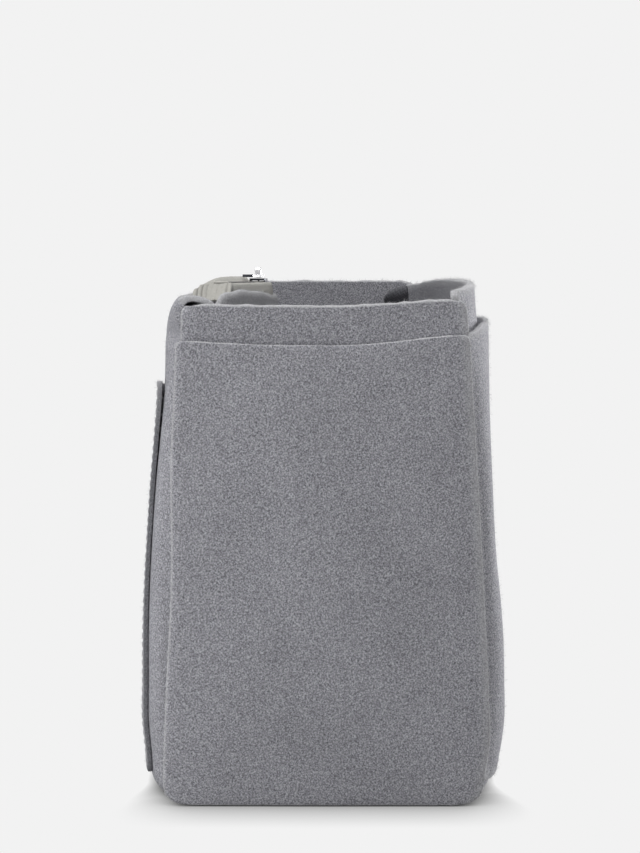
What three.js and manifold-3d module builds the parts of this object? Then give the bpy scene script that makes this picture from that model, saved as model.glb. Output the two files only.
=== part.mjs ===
// Purse organizer insert: an open felt box that stands inside a handbag. Slip pockets lie on its
// outside, and a zipped pocket, a slip pocket and a key strap are sewn to its inside.
// Millimetres, +Z up. The origin is the middle of the underside, and +Y runs along the length.
import * as THREE from "three";
import { mergeVertices } from "three/addons/utils/BufferGeometryUtils.js";
import Module from "manifold-3d";

const wasm = await Module();
wasm.setup();

// Felt body
const LENGTH = 250; // over both end pockets
const BASE_WIDTH = 112; // end panels at the floor, before their corners are rounded
const TOP_WIDTH = 98.4; // end panels at their top edge
const END_HEIGHT = 173;
const RIGHT_HEIGHT = 178;
const RIGHT_SAG = 6; // how far the right wall's top edge sinks at the far end
const RIGHT_SAG_LENGTH = 149; // and over what length it sinks
const LEFT_HEIGHT = 174.5;
const WALL_FELT = 3;
const POCKET_FELT = 2;
const LAYER_GAP = 0.4; // between felt layers that lie on each other
const SEAM_GAP = 0.3; // between edges that are sewn together
const FLOOR_RADIUS = 10; // outer fold from the floor to a long wall
const END_FOOT_RADIUS = 9; // lower corners of the end panels
const END_TOP_RADIUS = 4.5; // upper corners of the end panels
const BOW_POWER = 12; // how far the long walls run straight before they turn in at their ends
const RIGHT_BOW_TOP = 7.9; // how far the right wall bows out at its top edge
const RIGHT_BOW_FOOT = 9.3; // and at the floor
const LEFT_BOW_TOP = 7.5;
const LEFT_BOW_FOOT = 12;
const CURL_HEIGHT = 13; // top strip of the left wall, which the zip pulls inwards
const CURL_LEAN = 64; // degrees that its edge leans over
const CURL_POWER = 2.3; // how full this lean is towards the wall's ends

// Slip pockets
const END_POCKET_DROP = 12; // from an end panel's top edge to its pocket's
const END_POCKET_SAG = 2.5; // dip at the middle of an end pocket's top edge
const RIGHT_POCKET_DROP = 15.5; // from the right wall's top edge to its pocket's ends
const RIGHT_POCKET_SAG = 2; // dip at the middle of its top edge
const RIGHT_POCKET_FOOT = 8;
const RIGHT_POCKET_GAPE = 5; // how far its mouth stands off the wall
const LEFT_POCKET_DROP = 29; // from the left wall's top edge to its pocket's ends
const LEFT_POCKET_SAG = 8;
const LEFT_POCKET_FOOT = 9;
const LEFT_POCKET_MARGIN = 20; // from each end of the organizer
const LEFT_POCKET_GAPE = 1.2;
const BINDING_WIDTH = 1.6; // dark edge of the left pocket
const INNER_POCKET_DROP = 60; // from the right wall's top edge to its top
const INNER_POCKET_FOOT = 14;
const INNER_POCKET_MARGIN = 27;
const INNER_POCKET_GAPE = 8;
const INNER_POCKET_BELLIES = 2; // compartments, with a sewn line between them

// Floor
const BOARD_THICKNESS = 1.5;
const BOARD_MARGIN = 2; // to the end panels
const BOARD_LAP = 0.8; // past the start of the floor's fold
const LINING_LAP = 4;

// Zipped pocket on the left wall: the zip runs straight from its near end to its far end
const ZIP_NEAR_MARGIN = 45; // from the near end of the organizer to the bottom stop
const ZIP_FAR_MARGIN = 30;
const ZIP_NEAR_INSET = 13.9; // from the end panel's top corner to the zip
const ZIP_FAR_INSET = 21.9;
const ZIP_NEAR_RISE = 4; // above the left wall's top edge
const ZIP_FAR_RISE = -1.2;
const TAPE_THICKNESS = 0.7;
const TAPE_SEW = 14; // depth of tape sewn down inside the left wall
const TAPE_HANG = 9; // depth of tape sewn down inside the pocket's front
const TAPE_RIDGE = 3; // how far the left tape swells above the wall's edge
const TAPE_NEAR_TAIL = 22; // tape past the bottom stop
const TAPE_FAR_TAIL = 8; // tape past the top stops
const TAPE_DIP = 12; // how far the near tail bends down
const TAPE_TAIL_GAP = 0.8; // between the tapes at the end of the near tail
const FRONT_DROP = 2.4; // pocket front's top edge below the zip
const FRONT_FOOT = 46;
const FRONT_CORNER = 12; // radius where the pocket front turns to the wall
const FRONT_MARGIN = 4; // from its ends to the ends of the long wall
const FRONT_SEW = 0.05; // share of its depth that the pocket keeps at its foot

// Zip hardware
const TEETH_PITCH = 3;
const TOOTH_LENGTH = 1.5; // along the zip
const TEETH_THICKNESS = 1.8;
const TEETH_INNER = 0.6; // from the middle of the zip to the teeth
const TEETH_SPINE = 1.7;
const TEETH_OUTER = 2.6;
const STOP_LENGTH = 2.4;
const STOP_GROWTH = 0.2; // how far a stop stands proud of the teeth
const SLIDER_LENGTH = 10.5;
const SLIDER_WIDTH = 8; // at its mouth
const SLIDER_TAIL_WIDTH = 7;
const SLIDER_CORNER = 1.6;
const SLIDER_PLATE = 0.9;
const SLIDER_CLEARANCE = 0.4; // around the teeth
const TAPE_SLOT_CLEARANCE = 0.3; // above and below the tape
const SLIDER_PARK = 6; // slider's middle before the end of the teeth
const POST_WIDTH = 0.6;
const POST_LENGTH = 2.6;
const POST_INSET = 0.5;
const BRIDGE_LENGTH = 6.6;
const BRIDGE_HEIGHT = 4.6;
const BRIDGE_WIDTH = 2.6;
const BRIDGE_WALL = 1;
const BRIDGE_CORNER = 1.4;
const PULL_LENGTH = 22;
const PULL_WIDTH = 6.5;
const PULL_TIP_WIDTH = 5;
const PULL_THICKNESS = 1.2;
const PULL_BAR = 1.2; // bar at the pull's end, inside the bridge
const PULL_EYE_LENGTH = 4.2;
const PULL_EYE_WIDTH = 4;
const PULL_CORNER = 1.2;
const PULL_LIFT = 1.1; // pull's middle above the slider's plate
const PULL_YAW = 8; // degrees that the loose pull lies off the zip's line

// Key strap on the far end panel
const STRAP_WIDTH = 11.5;
const STRAP_THICKNESS = 1.4;
const STRAP_INSET = 2; // from the end panel's top edge to its top
const STRAP_LENGTH = 44; // from its top to the ring's bar
const STRAP_SIDE_GAP = 0.8; // to the right wall
const STRAP_NECK = 9; // from the bar to where the two layers meet
const STRAP_LAP = 20; // from the bar to the end of the turned-up layer
const RING_WIRE = 2.2;
const RING_ROOM = 0.5; // between the ring's arms and the strap
const RING_SIDE_GAP = 0.4; // to the right wall
const RING_ARM = 4; // straight part of the ring's arms
const RING_BEVEL = 0.5;
const RING_CLEARANCE = 0.45; // round the bar in the strap's loop

// Values worked out from the ones above
const HALF_LENGTH = LENGTH / 2;
const END_INNER = HALF_LENGTH - POCKET_FELT - LAYER_GAP - WALL_FELT; // inner face of an end panel
const WALL_END = END_INNER - SEAM_GAP; // ends of the long walls
const SIDE_COVER = LAYER_GAP + POCKET_FELT; // end panels cover the ends of the right pocket
const END_POCKET_HEIGHT = END_HEIGHT - END_POCKET_DROP;
const RIGHT_POCKET_TOP = RIGHT_HEIGHT - RIGHT_POCKET_DROP;
const LEFT_POCKET_TOP = LEFT_HEIGHT - LEFT_POCKET_DROP;
const INNER_POCKET_TOP = RIGHT_HEIGHT - INNER_POCKET_DROP;
const STRAP_TOP = END_HEIGHT - STRAP_INSET;
const CURL_RADIUS = CURL_HEIGHT / Math.sin(THREE.MathUtils.degToRad(CURL_LEAN));
const TAPE_EDGE = TEETH_OUTER + SEAM_GAP; // from the middle of the zip to the tape
const TAPE_FLAT = SLIDER_WIDTH / 2 + SLIDER_CLEARANCE; // tape stays flat this far out
const FRONT_OFFSET = TAPE_FLAT + TAPE_THICKNESS + LAYER_GAP + SEAM_GAP; // zip to pocket front
const FRONT_END = WALL_END - FRONT_MARGIN;

// Materials
const finish = (color, roughness, metalness = 0) =>
  new THREE.MeshStandardMaterial({ color, roughness, metalness });
const greyFelt = finish("#8c8c8f", 0.95);
const darkBinding = finish("#55565a", 0.9);
const beigeTape = finish("#b4b0a8", 0.85);
const greyBoard = finish("#6f7072", 0.6);
const silverMetal = finish("#c9cacc", 0.25, 1);
const greyTeeth = finish("#5c5b59", 0.5);
const blackWebbing = finish("#2f2f33", 0.85);
const gunMetal = finish("#4a4b4f", 0.3, 1);

const organizer = new THREE.Group();

function piece(parent, name, geometry, material) {
  const mesh = new THREE.Mesh(geometry, material);
  mesh.name = name;
  parent.add(mesh);
  return mesh;
}

// Helpers for shapes
const mix = (from, to, share) => from + (to - from) * share;
const spread = (from, to, steps) => Array.from({ length: steps + 1 }, (_, i) => mix(from, to, i / steps));
const quarter = Math.PI / 2;
// Places along a length, closer together towards its ends, where the long walls turn in.
const lengthwise = (half, steps) => spread(-quarter, quarter, steps).map((turn) => half * Math.sin(turn));

// How far a rounded corner draws an edge in, at a distance past the start of its arc.
function cornerDraw(radius, past) {
  if (past <= 0) return 0;
  return radius - Math.sqrt(Math.max(radius ** 2 - past ** 2, 0));
}

function facingOut(geometry) {
  const corner = [0, 1, 2].map(() => new THREE.Vector3());
  const index = geometry.index.array;
  let volume = 0;
  for (let i = 0; i < index.length; i += 3) {
    corner.forEach((point, k) => point.fromBufferAttribute(geometry.attributes.position, index[i + k]));
    volume += corner[0].dot(corner[1].cross(corner[2]));
  }
  if (volume < 0) index.reverse();
  return geometry;
}

// A closed sheet over a grid of columns and rows. layer is 0 on one face and 1 on the other.
function sheet(columns, rows, place) {
  const lastColumn = columns.length - 1;
  const lastRow = rows.length - 1;
  const geometry = new THREE.BoxGeometry(1, 1, 1, lastColumn, lastRow, 1);
  const position = geometry.attributes.position;
  for (let i = 0; i < position.count; i++) {
    const column = columns[Math.round((position.getX(i) + 0.5) * lastColumn)];
    const row = rows[Math.round((position.getY(i) + 0.5) * lastRow)];
    position.setXYZ(i, ...place(column, row, position.getZ(i) + 0.5));
  }
  return facingOut(geometry);
}

// An outline drawn in a plane whose axes are given, and extruded evenly to both sides of it.
function extruded(shape, depth, right, up, bevel = 0) {
  const options = { depth: depth - 2 * bevel, bevelEnabled: bevel > 0, curveSegments: 8 };
  const rounding = { bevelSize: bevel, bevelThickness: bevel, bevelOffset: -bevel, bevelSegments: 2 };
  const geometry = new THREE.ExtrudeGeometry(shape, { ...options, ...rounding });
  geometry.translate(0, 0, bevel - depth / 2);
  const basis = new THREE.Matrix4().makeBasis(right, up, new THREE.Vector3().crossVectors(right, up));
  return geometry.applyMatrix4(basis);
}

const axisX = new THREE.Vector3(1, 0, 0);
const axisY = new THREE.Vector3(0, 1, 0);
const axisZ = new THREE.Vector3(0, 0, 1);

function box(width, length, height, x = 0, y = 0, z = 0) {
  return new THREE.BoxGeometry(width, length, height).translate(x, y, z);
}

function toSolid(geometry) {
  const bare = geometry.clone();
  bare.deleteAttribute("normal");
  bare.deleteAttribute("uv");
  const merged = mergeVertices(bare, 1e-5);
  const vertProperties = new Float32Array(merged.attributes.position.array);
  const triVerts = new Uint32Array(merged.index.array);
  return new wasm.Manifold(new wasm.Mesh({ numProp: 3, vertProperties, triVerts }));
}

function fromSolid(solid) {
  const mesh = solid.getMesh();
  const geometry = new THREE.BufferGeometry();
  geometry.setAttribute("position", new THREE.BufferAttribute(mesh.vertProperties, 3));
  geometry.setIndex(new THREE.BufferAttribute(mesh.triVerts, 1));
  return geometry;
}

// The body's curves. Side is -1 on the left wall and 1 on the right wall.
const fullness = (y, power) => 1 - Math.abs(y / WALL_END) ** power;
const endHalf = (z) => mix(BASE_WIDTH, TOP_WIDTH, z / END_HEIGHT) / 2;
const leftCurl = (z) => cornerDraw(CURL_RADIUS, z - (LEFT_HEIGHT - CURL_HEIGHT));
const leftSwell = (z) => mix(LEFT_BOW_FOOT, LEFT_BOW_TOP, z / LEFT_HEIGHT);
const rightSwell = (z) => mix(RIGHT_BOW_FOOT, RIGHT_BOW_TOP, z / RIGHT_HEIGHT);
const rightSag = (y) => RIGHT_SAG * Math.max((y - WALL_END) / RIGHT_SAG_LENGTH + 1, 0) ** 2;

// Outer half-width of a long wall.
function wallHalf(side, y, z) {
  const swell = side < 0 ? leftSwell(z) : rightSwell(z);
  const curl = side < 0 ? leftCurl(z) : 0;
  return endHalf(z) - SIDE_COVER + fullness(y, BOW_POWER) * swell - fullness(y, CURL_POWER) * curl;
}

function wallSlope(side, y, z) {
  const step = 0.01;
  return (wallHalf(side, y, z) - wallHalf(side, y, z - step)) / step;
}

// The point of a long wall's outer face at y and z, moved out from the face along its normal.
function onWall(side, y, z, out) {
  const slope = wallSlope(side, y, z);
  const shift = out / Math.hypot(1, slope);
  return [side * (wallHalf(side, y, z) + shift), y, z - shift * slope];
}

// x of a layer inside the left wall, measured level with z, or with the wall's edge if that is lower.
function insideLeft(y, z, depth) {
  const level = Math.min(z, LEFT_HEIGHT);
  return depth * Math.hypot(1, wallSlope(-1, y, level)) - wallHalf(-1, y, level);
}

// Left wall, floor and right wall in one folded piece.
function bodyWrap() {
  const straight = [...spread(FLOOR_RADIUS, LEFT_HEIGHT - CURL_HEIGHT, 4)];
  const curl = spread(LEFT_HEIGHT - CURL_HEIGHT, LEFT_HEIGHT, 5).slice(1);
  const leftRows = [...straight, ...curl].reverse().map((z) => ({ side: -1, z }));
  const rightRows = spread(0, 1, 5).map((rise) => ({ side: 1, rise }));
  const folds = spread(0, quarter, 4).slice(1);
  const leftFold = folds.map((turn) => ({ side: -1, turn }));
  const rightFold = folds.map((turn) => ({ side: 1, turn })).reverse();
  const floor = [{ side: 1, turn: quarter, share: 0.5 }];
  const rows = [...leftRows, ...leftFold, ...floor, ...rightFold, ...rightRows];
  return sheet(lengthwise(WALL_END, 18), rows, (y, row, layer) => {
    if (row.z) return onWall(row.side, y, row.z, -layer * WALL_FELT);
    if (row.rise !== undefined) {
      const z = mix(FLOOR_RADIUS, RIGHT_HEIGHT - rightSag(y), row.rise);
      return onWall(row.side, y, z, -layer * WALL_FELT);
    }
    const radius = FLOOR_RADIUS - layer * WALL_FELT;
    const foldHalf = (side) => wallHalf(side, y, FLOOR_RADIUS) - FLOOR_RADIUS;
    const z = FLOOR_RADIUS - radius * Math.sin(row.turn);
    if (row.share) return [mix(-foldHalf(-1), foldHalf(1), row.share), y, z];
    return [row.side * (foldHalf(row.side) + radius * Math.cos(row.turn)), y, z];
  });
}

// A flat felt panel across one end, with all its corners rounded. Its outer face is at y.
function endSheet(end, y, thickness, height, sag, topRadius) {
  const foot = spread(0, quarter, 4).map((turn) => END_FOOT_RADIUS * (1 - Math.cos(turn)));
  const head = spread(0, quarter, 3).map((turn) => height - topRadius * (1 - Math.sin(turn)));
  const sides = spread(END_FOOT_RADIUS, height - topRadius, 5).slice(1, -1);
  return sheet(spread(-1, 1, 8), [...foot, ...sides, ...head], (share, z, layer) => {
    const footDraw = cornerDraw(END_FOOT_RADIUS, END_FOOT_RADIUS - z);
    const headDraw = cornerDraw(topRadius, z - height + topRadius);
    const half = endHalf(z) - footDraw - headDraw;
    const dip = sag * (1 - share ** 2) * (z / height) ** 4;
    return [share * half, end * (y - layer * thickness), z - dip];
  });
}

// A slip pocket on the outside of a long wall, from foot to top, with its mouth standing off.
function wallPocket(side, halfLength, foot, top, sag, gape) {
  const middle = (y) => 1 - (y / halfLength) ** 2;
  return sheet(lengthwise(halfLength, 18), spread(0, 1, 6), (y, rise, layer) => {
    const z = mix(foot, top - sag * middle(y), rise);
    const gap = LAYER_GAP + gape * middle(y) * rise ** 2;
    return onWall(side, y, z, gap + layer * POCKET_FELT);
  });
}

const leftPocketHalf = HALF_LENGTH - LEFT_POCKET_MARGIN;

// The dark strip along the near, lower and far edges of the left pocket.
function leftPocketBinding() {
  const frame = (past) => {
    const y = leftPocketHalf + past;
    const z = LEFT_POCKET_FOOT - past;
    const climb = spread(LEFT_POCKET_TOP, z, 6);
    const near = climb.map((height) => [-y, height]);
    const bottom = lengthwise(y, 16).slice(1, -1).map((length) => [length, z]);
    return [...near, ...bottom, ...climb.reverse().map((height) => [y, height])];
  };
  const inner = frame(SEAM_GAP);
  const outer = frame(SEAM_GAP + BINDING_WIDTH);
  const stations = inner.map((point, i) => [point, outer[i]]);
  return sheet(stations, [0, 1], (station, edge, layer) =>
    onWall(-1, ...station[edge], LAYER_GAP + layer * POCKET_FELT),
  );
}

// The slip pocket inside the right wall, sewn down between its compartments.
function innerPocket() {
  const half = HALF_LENGTH - INNER_POCKET_MARGIN;
  const belly = (y) => Math.sin((quarter * INNER_POCKET_BELLIES * (y + half)) / half) ** 2;
  const rise = (z) => Math.sin((quarter * (z - INNER_POCKET_FOOT)) / (INNER_POCKET_TOP - INNER_POCKET_FOOT));
  const rows = spread(INNER_POCKET_FOOT, INNER_POCKET_TOP, 6);
  return sheet(spread(-half, half, 24), rows, (y, z, layer) => {
    const gap = LAYER_GAP + INNER_POCKET_GAPE * belly(y) * rise(z);
    return onWall(1, y, z, -(WALL_FELT + gap + layer * POCKET_FELT));
  });
}

// A flat layer on the floor, from bottom upwards, reaching past the start of the floor's folds.
function floorLayer(bottom, thickness, lap) {
  const length = lengthwise(WALL_END - BOARD_MARGIN, 14);
  return sheet(length, [0, 1], (y, share, layer) => {
    const reach = (side) => wallHalf(side, y, FLOOR_RADIUS) - FLOOR_RADIUS + lap;
    return [mix(-reach(-1), reach(1), share), y, bottom + layer * thickness];
  });
}

// The zip's straight line, from its bottom stop to its top stops.
const zipNear = new THREE.Vector3(
  ZIP_NEAR_INSET - TOP_WIDTH / 2,
  ZIP_NEAR_MARGIN - HALF_LENGTH,
  LEFT_HEIGHT + ZIP_NEAR_RISE,
);
const zipFar = new THREE.Vector3(
  ZIP_FAR_INSET - TOP_WIDTH / 2,
  HALF_LENGTH - ZIP_FAR_MARGIN,
  LEFT_HEIGHT + ZIP_FAR_RISE,
);
const zipAlong = zipFar.clone().sub(zipNear).normalize();
const zipAcross = new THREE.Vector3().crossVectors(zipAlong, axisZ).normalize();
const zipUp = new THREE.Vector3().crossVectors(zipAcross, zipAlong);
const CHAIN_LENGTH = zipFar.distanceTo(zipNear);

const zipShare = (y) => (y - zipNear.y) / (zipFar.y - zipNear.y);
const zipX = (y) => mix(zipNear.x, zipFar.x, zipShare(y));
const zipZ = (y) => mix(zipNear.z, zipFar.z, zipShare(y));
const tailStart = zipNear.y - STOP_LENGTH - 2 * SEAM_GAP; // past the bottom stop
const tailShare = (y) => Math.max((tailStart - y) / TAPE_NEAR_TAIL, 0);
const tapeDip = (y) => TAPE_DIP * tailShare(y) ** 2;
const tapeEdge = (y) => mix(TAPE_EDGE, TAPE_TAIL_GAP / 2, Math.min(2 * tailShare(y), 1));

// The zipped pocket's front: out from the wall at each end, round a corner and along the zip.
const frontTop = (y) => zipZ(THREE.MathUtils.clamp(y, zipNear.y, zipFar.y)) - FRONT_DROP;
const frontDepth = (share) => mix(FRONT_SEW, 1, Math.sin(quarter * share));

function frontX(y, share, x) {
  const z = mix(FRONT_FOOT, frontTop(y), share);
  const wall = insideLeft(y, z, WALL_FELT + LAYER_GAP);
  return mix(wall, Math.max(x, wall), frontDepth(share));
}

// x of the pocket front's inner face at y, level with z.
function frontInside(y, z) {
  const share = (z - FRONT_FOOT) / (frontTop(y) - FRONT_FOOT);
  const draw = cornerDraw(FRONT_CORNER, Math.abs(y) - FRONT_END + FRONT_CORNER);
  return frontX(y, share, zipX(y) + FRONT_OFFSET - draw);
}

function zipPocketFront() {
  const turns = spread(0, quarter, 4);
  const corner = (end, turn) => {
    const y = end * (FRONT_END - FRONT_CORNER * (1 - Math.cos(turn)));
    const x = zipX(y) + FRONT_OFFSET - FRONT_CORNER * (1 - Math.sin(turn));
    return { x, y, out: [Math.sin(turn), end * Math.cos(turn)] };
  };
  const root = (end) => ({ x: -TOP_WIDTH / 2, y: end * FRONT_END, out: [0, end] });
  const middle = spread(FRONT_CORNER - FRONT_END, FRONT_END - FRONT_CORNER, 12).slice(1, -1);
  const path = [
    root(-1),
    ...turns.map((turn) => corner(-1, turn)),
    ...middle.map((y) => ({ x: zipX(y) + FRONT_OFFSET, y, out: [1, 0] })),
    ...turns.map((turn) => corner(1, turn)).reverse(),
    root(1),
  ];
  return sheet(path, spread(0, 1, 8), (station, share, layer) => {
    const z = mix(FRONT_FOOT, frontTop(station.y), share);
    const out = layer * POCKET_FELT;
    const y = station.y + out * station.out[1];
    return [frontX(y, share, station.x) + out * station.out[0], y, z];
  });
}

// A tape follows a curve across the zip, at each place along it.
function zipTape(crossing) {
  const length = [
    ...spread(tailStart - TAPE_NEAR_TAIL, tailStart, 6),
    ...spread(zipNear.y, zipFar.y + TAPE_FAR_TAIL, 14),
  ];
  const curves = new Map(length.map((y) => [y, crossing(y)]));
  return sheet(length, spread(0, 1, 8), (y, share, layer) => {
    const curve = curves.get(y);
    const point = curve.getPoint(share);
    const tangent = curve.getTangent(share);
    const lift = (layer - 0.5) * TAPE_THICKNESS;
    return [point.x - tangent.y * lift, y, point.y + tangent.x * lift];
  });
}

// From inside the left wall, up over a swelling, to the left teeth.
function leftTapeCrossing(y) {
  const depth = WALL_FELT + LAYER_GAP + TAPE_THICKNESS / 2;
  const top = LEFT_HEIGHT - tapeDip(y);
  const sewn = onWall(-1, y, top - TAPE_SEW, -depth);
  const rim = onWall(-1, y, top, -depth);
  const level = zipZ(y) - tapeDip(y);
  const flat = zipX(y) - TAPE_FLAT;
  return new THREE.SplineCurve([
    new THREE.Vector2(sewn[0], sewn[2]),
    new THREE.Vector2(rim[0], rim[2]),
    new THREE.Vector2(mix(rim[0], flat, 0.5), top + TAPE_RIDGE),
    new THREE.Vector2(flat, level),
    new THREE.Vector2(zipX(y) - tapeEdge(y), level),
  ]);
}

// From the right teeth, over the edge, to the inside of the pocket's front.
function rightTapeCrossing(y) {
  const level = zipZ(y) - tapeDip(y);
  const inset = LAYER_GAP + TAPE_THICKNESS / 2;
  const shoulder = level - FRONT_DROP;
  return new THREE.SplineCurve([
    new THREE.Vector2(zipX(y) + tapeEdge(y), level),
    new THREE.Vector2(zipX(y) + TAPE_FLAT, level),
    new THREE.Vector2(frontInside(y, shoulder) - inset, shoulder),
    new THREE.Vector2(frontInside(y, level - TAPE_HANG) - inset, level - TAPE_HANG),
  ]);
}

// A comb of teeth in the zip's own frame, whose origin is the end of the teeth at the far stops.
function teethRow(side, stagger) {
  const points = [
    [TEETH_OUTER, 0],
    [TEETH_SPINE, 0],
  ];
  const count = Math.floor((CHAIN_LENGTH - TEETH_PITCH) / TEETH_PITCH);
  for (let i = 0; i < count; i++) {
    const start = -(i * TEETH_PITCH + stagger);
    points.push([TEETH_SPINE, start], [TEETH_INNER, start]);
    points.push([TEETH_INNER, start - TOOTH_LENGTH], [TEETH_SPINE, start - TOOTH_LENGTH]);
  }
  points.push([TEETH_SPINE, -CHAIN_LENGTH], [TEETH_OUTER, -CHAIN_LENGTH]);
  const outline = points.map(([x, y]) => new THREE.Vector2(side * x, y));
  return extruded(new THREE.Shape(outline), TEETH_THICKNESS, axisX, axisY);
}

const sliderHalfHeight = TEETH_THICKNESS / 2 + SLIDER_CLEARANCE + SLIDER_PLATE;

// Two plates with turned edges round the teeth, and the post that joins them.
function sliderBody() {
  const half = SLIDER_LENGTH / 2;
  const outline = roundedOutline(SLIDER_WIDTH, SLIDER_TAIL_WIDTH, half, -half, SLIDER_CORNER);
  const block = toSolid(extruded(outline, 2 * sliderHalfHeight, axisX, axisY));
  const channelWidth = 2 * (TEETH_OUTER + SLIDER_CLEARANCE);
  const channelHeight = TEETH_THICKNESS + 2 * SLIDER_CLEARANCE;
  const slotHeight = TAPE_THICKNESS + 2 * TAPE_SLOT_CLEARANCE;
  const channel = toSolid(box(channelWidth, 2 * SLIDER_LENGTH, channelHeight));
  const slot = toSolid(box(2 * SLIDER_WIDTH, 2 * SLIDER_LENGTH, slotHeight));
  const postY = half - POST_INSET - POST_LENGTH / 2;
  const post = toSolid(box(POST_WIDTH, POST_LENGTH, 2 * sliderHalfHeight - SLIDER_PLATE, 0, postY));
  return fromSolid(block.subtract(channel).subtract(slot).add(post));
}

// A four-sided outline with rounded corners, from its head at y to its tail.
function roundedOutline(headWidth, tailWidth, head, tail, radius) {
  const corners = [
    [headWidth / 2, head],
    [-headWidth / 2, head],
    [-tailWidth / 2, tail],
    [tailWidth / 2, tail],
  ].map(([x, y]) => new THREE.Vector2(x, y));
  const shape = new THREE.Shape();
  corners.forEach((corner, i) => {
    const before = corners[(i + 3) % 4].clone().sub(corner).setLength(radius).add(corner);
    const after = corners[(i + 1) % 4].clone().sub(corner).setLength(radius).add(corner);
    if (i === 0) shape.moveTo(before.x, before.y);
    else shape.lineTo(before.x, before.y);
    shape.quadraticCurveTo(corner.x, corner.y, after.x, after.y);
  });
  return shape.closePath();
}

// The bridge over the slider: an arch that traps the pull's bar.
function sliderBridge() {
  const half = BRIDGE_LENGTH / 2;
  const inner = half - BRIDGE_WALL;
  const innerTop = BRIDGE_HEIGHT - BRIDGE_WALL;
  const arch = new THREE.Shape();
  arch.moveTo(-half, 0);
  arch.lineTo(-inner, 0);
  arch.lineTo(-inner, innerTop);
  arch.lineTo(inner, innerTop);
  arch.lineTo(inner, 0);
  arch.lineTo(half, 0);
  arch.lineTo(half, BRIDGE_HEIGHT - BRIDGE_CORNER);
  arch.quadraticCurveTo(half, BRIDGE_HEIGHT, half - BRIDGE_CORNER, BRIDGE_HEIGHT);
  arch.lineTo(BRIDGE_CORNER - half, BRIDGE_HEIGHT);
  arch.quadraticCurveTo(-half, BRIDGE_HEIGHT, -half, BRIDGE_HEIGHT - BRIDGE_CORNER);
  return extruded(arch.closePath(), BRIDGE_WIDTH, axisY, axisZ);
}

// The pull tab. Its origin is the middle of its bar, and it lies along -Y.
function pullTab() {
  const head = PULL_BAR / 2;
  const shape = roundedOutline(PULL_WIDTH, PULL_TIP_WIDTH, head, head - PULL_LENGTH, PULL_CORNER);
  const eye = [
    [-PULL_EYE_WIDTH / 2, -head],
    [PULL_EYE_WIDTH / 2, -head],
    [PULL_EYE_WIDTH / 2, -head - PULL_EYE_LENGTH],
    [-PULL_EYE_WIDTH / 2, -head - PULL_EYE_LENGTH],
  ];
  shape.holes.push(new THREE.Path(eye.map(([x, y]) => new THREE.Vector2(x, y))));
  return extruded(shape, PULL_THICKNESS, axisX, axisY);
}

const loopInner = RING_WIRE / 2 + RING_CLEARANCE;
const loopOuter = loopInner + STRAP_THICKNESS;
const ringInnerHalf = STRAP_WIDTH / 2 + RING_ROOM;
const ringHalf = ringInnerHalf + RING_WIRE;

// The key strap seen from its edge: it hangs down the end panel and turns up round the ring's bar.
// The outline's x is the distance from the panel, and its origin is level with the bar.
function keyStrap() {
  const shape = new THREE.Shape();
  shape.moveTo(0, STRAP_LENGTH);
  shape.lineTo(0, 0);
  shape.absarc(loopOuter, 0, loopOuter, Math.PI, 2 * Math.PI, false);
  shape.lineTo(2 * STRAP_THICKNESS, STRAP_NECK);
  shape.lineTo(2 * STRAP_THICKNESS, STRAP_LAP);
  shape.lineTo(STRAP_THICKNESS, STRAP_LAP);
  shape.lineTo(STRAP_THICKNESS, STRAP_LENGTH);
  shape.closePath();
  shape.holes.push(new THREE.Path().absarc(loopOuter, 0, loopInner, 0, 2 * Math.PI, true));
  return extruded(shape, STRAP_WIDTH, axisY.clone().negate(), axisZ);
}

// The ring: a flat bar in the strap's loop, two straight arms and a round bow.
function keyRing() {
  const bow = (path, half, top) => {
    path.moveTo(half, top);
    path.lineTo(-half, top);
    path.lineTo(-half, -RING_ARM);
    path.absarc(0, -RING_ARM, half, Math.PI, 2 * Math.PI, false);
    return path.closePath();
  };
  const shape = bow(new THREE.Shape(), ringHalf, RING_WIRE / 2);
  shape.holes.push(bow(new THREE.Path(), ringInnerHalf, -RING_WIRE / 2));
  return extruded(shape, RING_WIRE, axisX, axisZ, RING_BEVEL);
}

// Assembly
piece(organizer, "body_wrap", bodyWrap(), greyFelt);
for (const [name, end] of [["near", -1], ["far", 1]]) {
  const panelFace = HALF_LENGTH - POCKET_FELT - LAYER_GAP;
  const panel = endSheet(end, panelFace, WALL_FELT, END_HEIGHT, 0, END_TOP_RADIUS);
  const pocket = endSheet(end, HALF_LENGTH, POCKET_FELT, END_POCKET_HEIGHT, END_POCKET_SAG, POCKET_FELT);
  piece(organizer, `end_panel_${name}`, panel, greyFelt);
  piece(organizer, `end_pocket_${name}`, pocket, greyFelt);
}

const rightMouth = [RIGHT_POCKET_TOP, RIGHT_POCKET_SAG, RIGHT_POCKET_GAPE];
const leftMouth = [LEFT_POCKET_TOP, LEFT_POCKET_SAG, LEFT_POCKET_GAPE];
piece(organizer, "right_pocket", wallPocket(1, WALL_END, RIGHT_POCKET_FOOT, ...rightMouth), greyFelt);
piece(organizer, "left_pocket", wallPocket(-1, leftPocketHalf, LEFT_POCKET_FOOT, ...leftMouth), greyFelt);
piece(organizer, "left_pocket_binding", leftPocketBinding(), darkBinding);
piece(organizer, "inner_pocket", innerPocket(), greyFelt);

const boardBottom = WALL_FELT + SEAM_GAP;
const liningBottom = boardBottom + BOARD_THICKNESS + SEAM_GAP;
piece(organizer, "base_stiffener", floorLayer(boardBottom, BOARD_THICKNESS, BOARD_LAP), greyBoard);
piece(organizer, "floor_lining", floorLayer(liningBottom, POCKET_FELT, LINING_LAP), greyFelt);

piece(organizer, "zip_pocket_front", zipPocketFront(), greyFelt);
piece(organizer, "zip_tape_left", zipTape(leftTapeCrossing), beigeTape);
piece(organizer, "zip_tape_right", zipTape(rightTapeCrossing), beigeTape);

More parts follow.
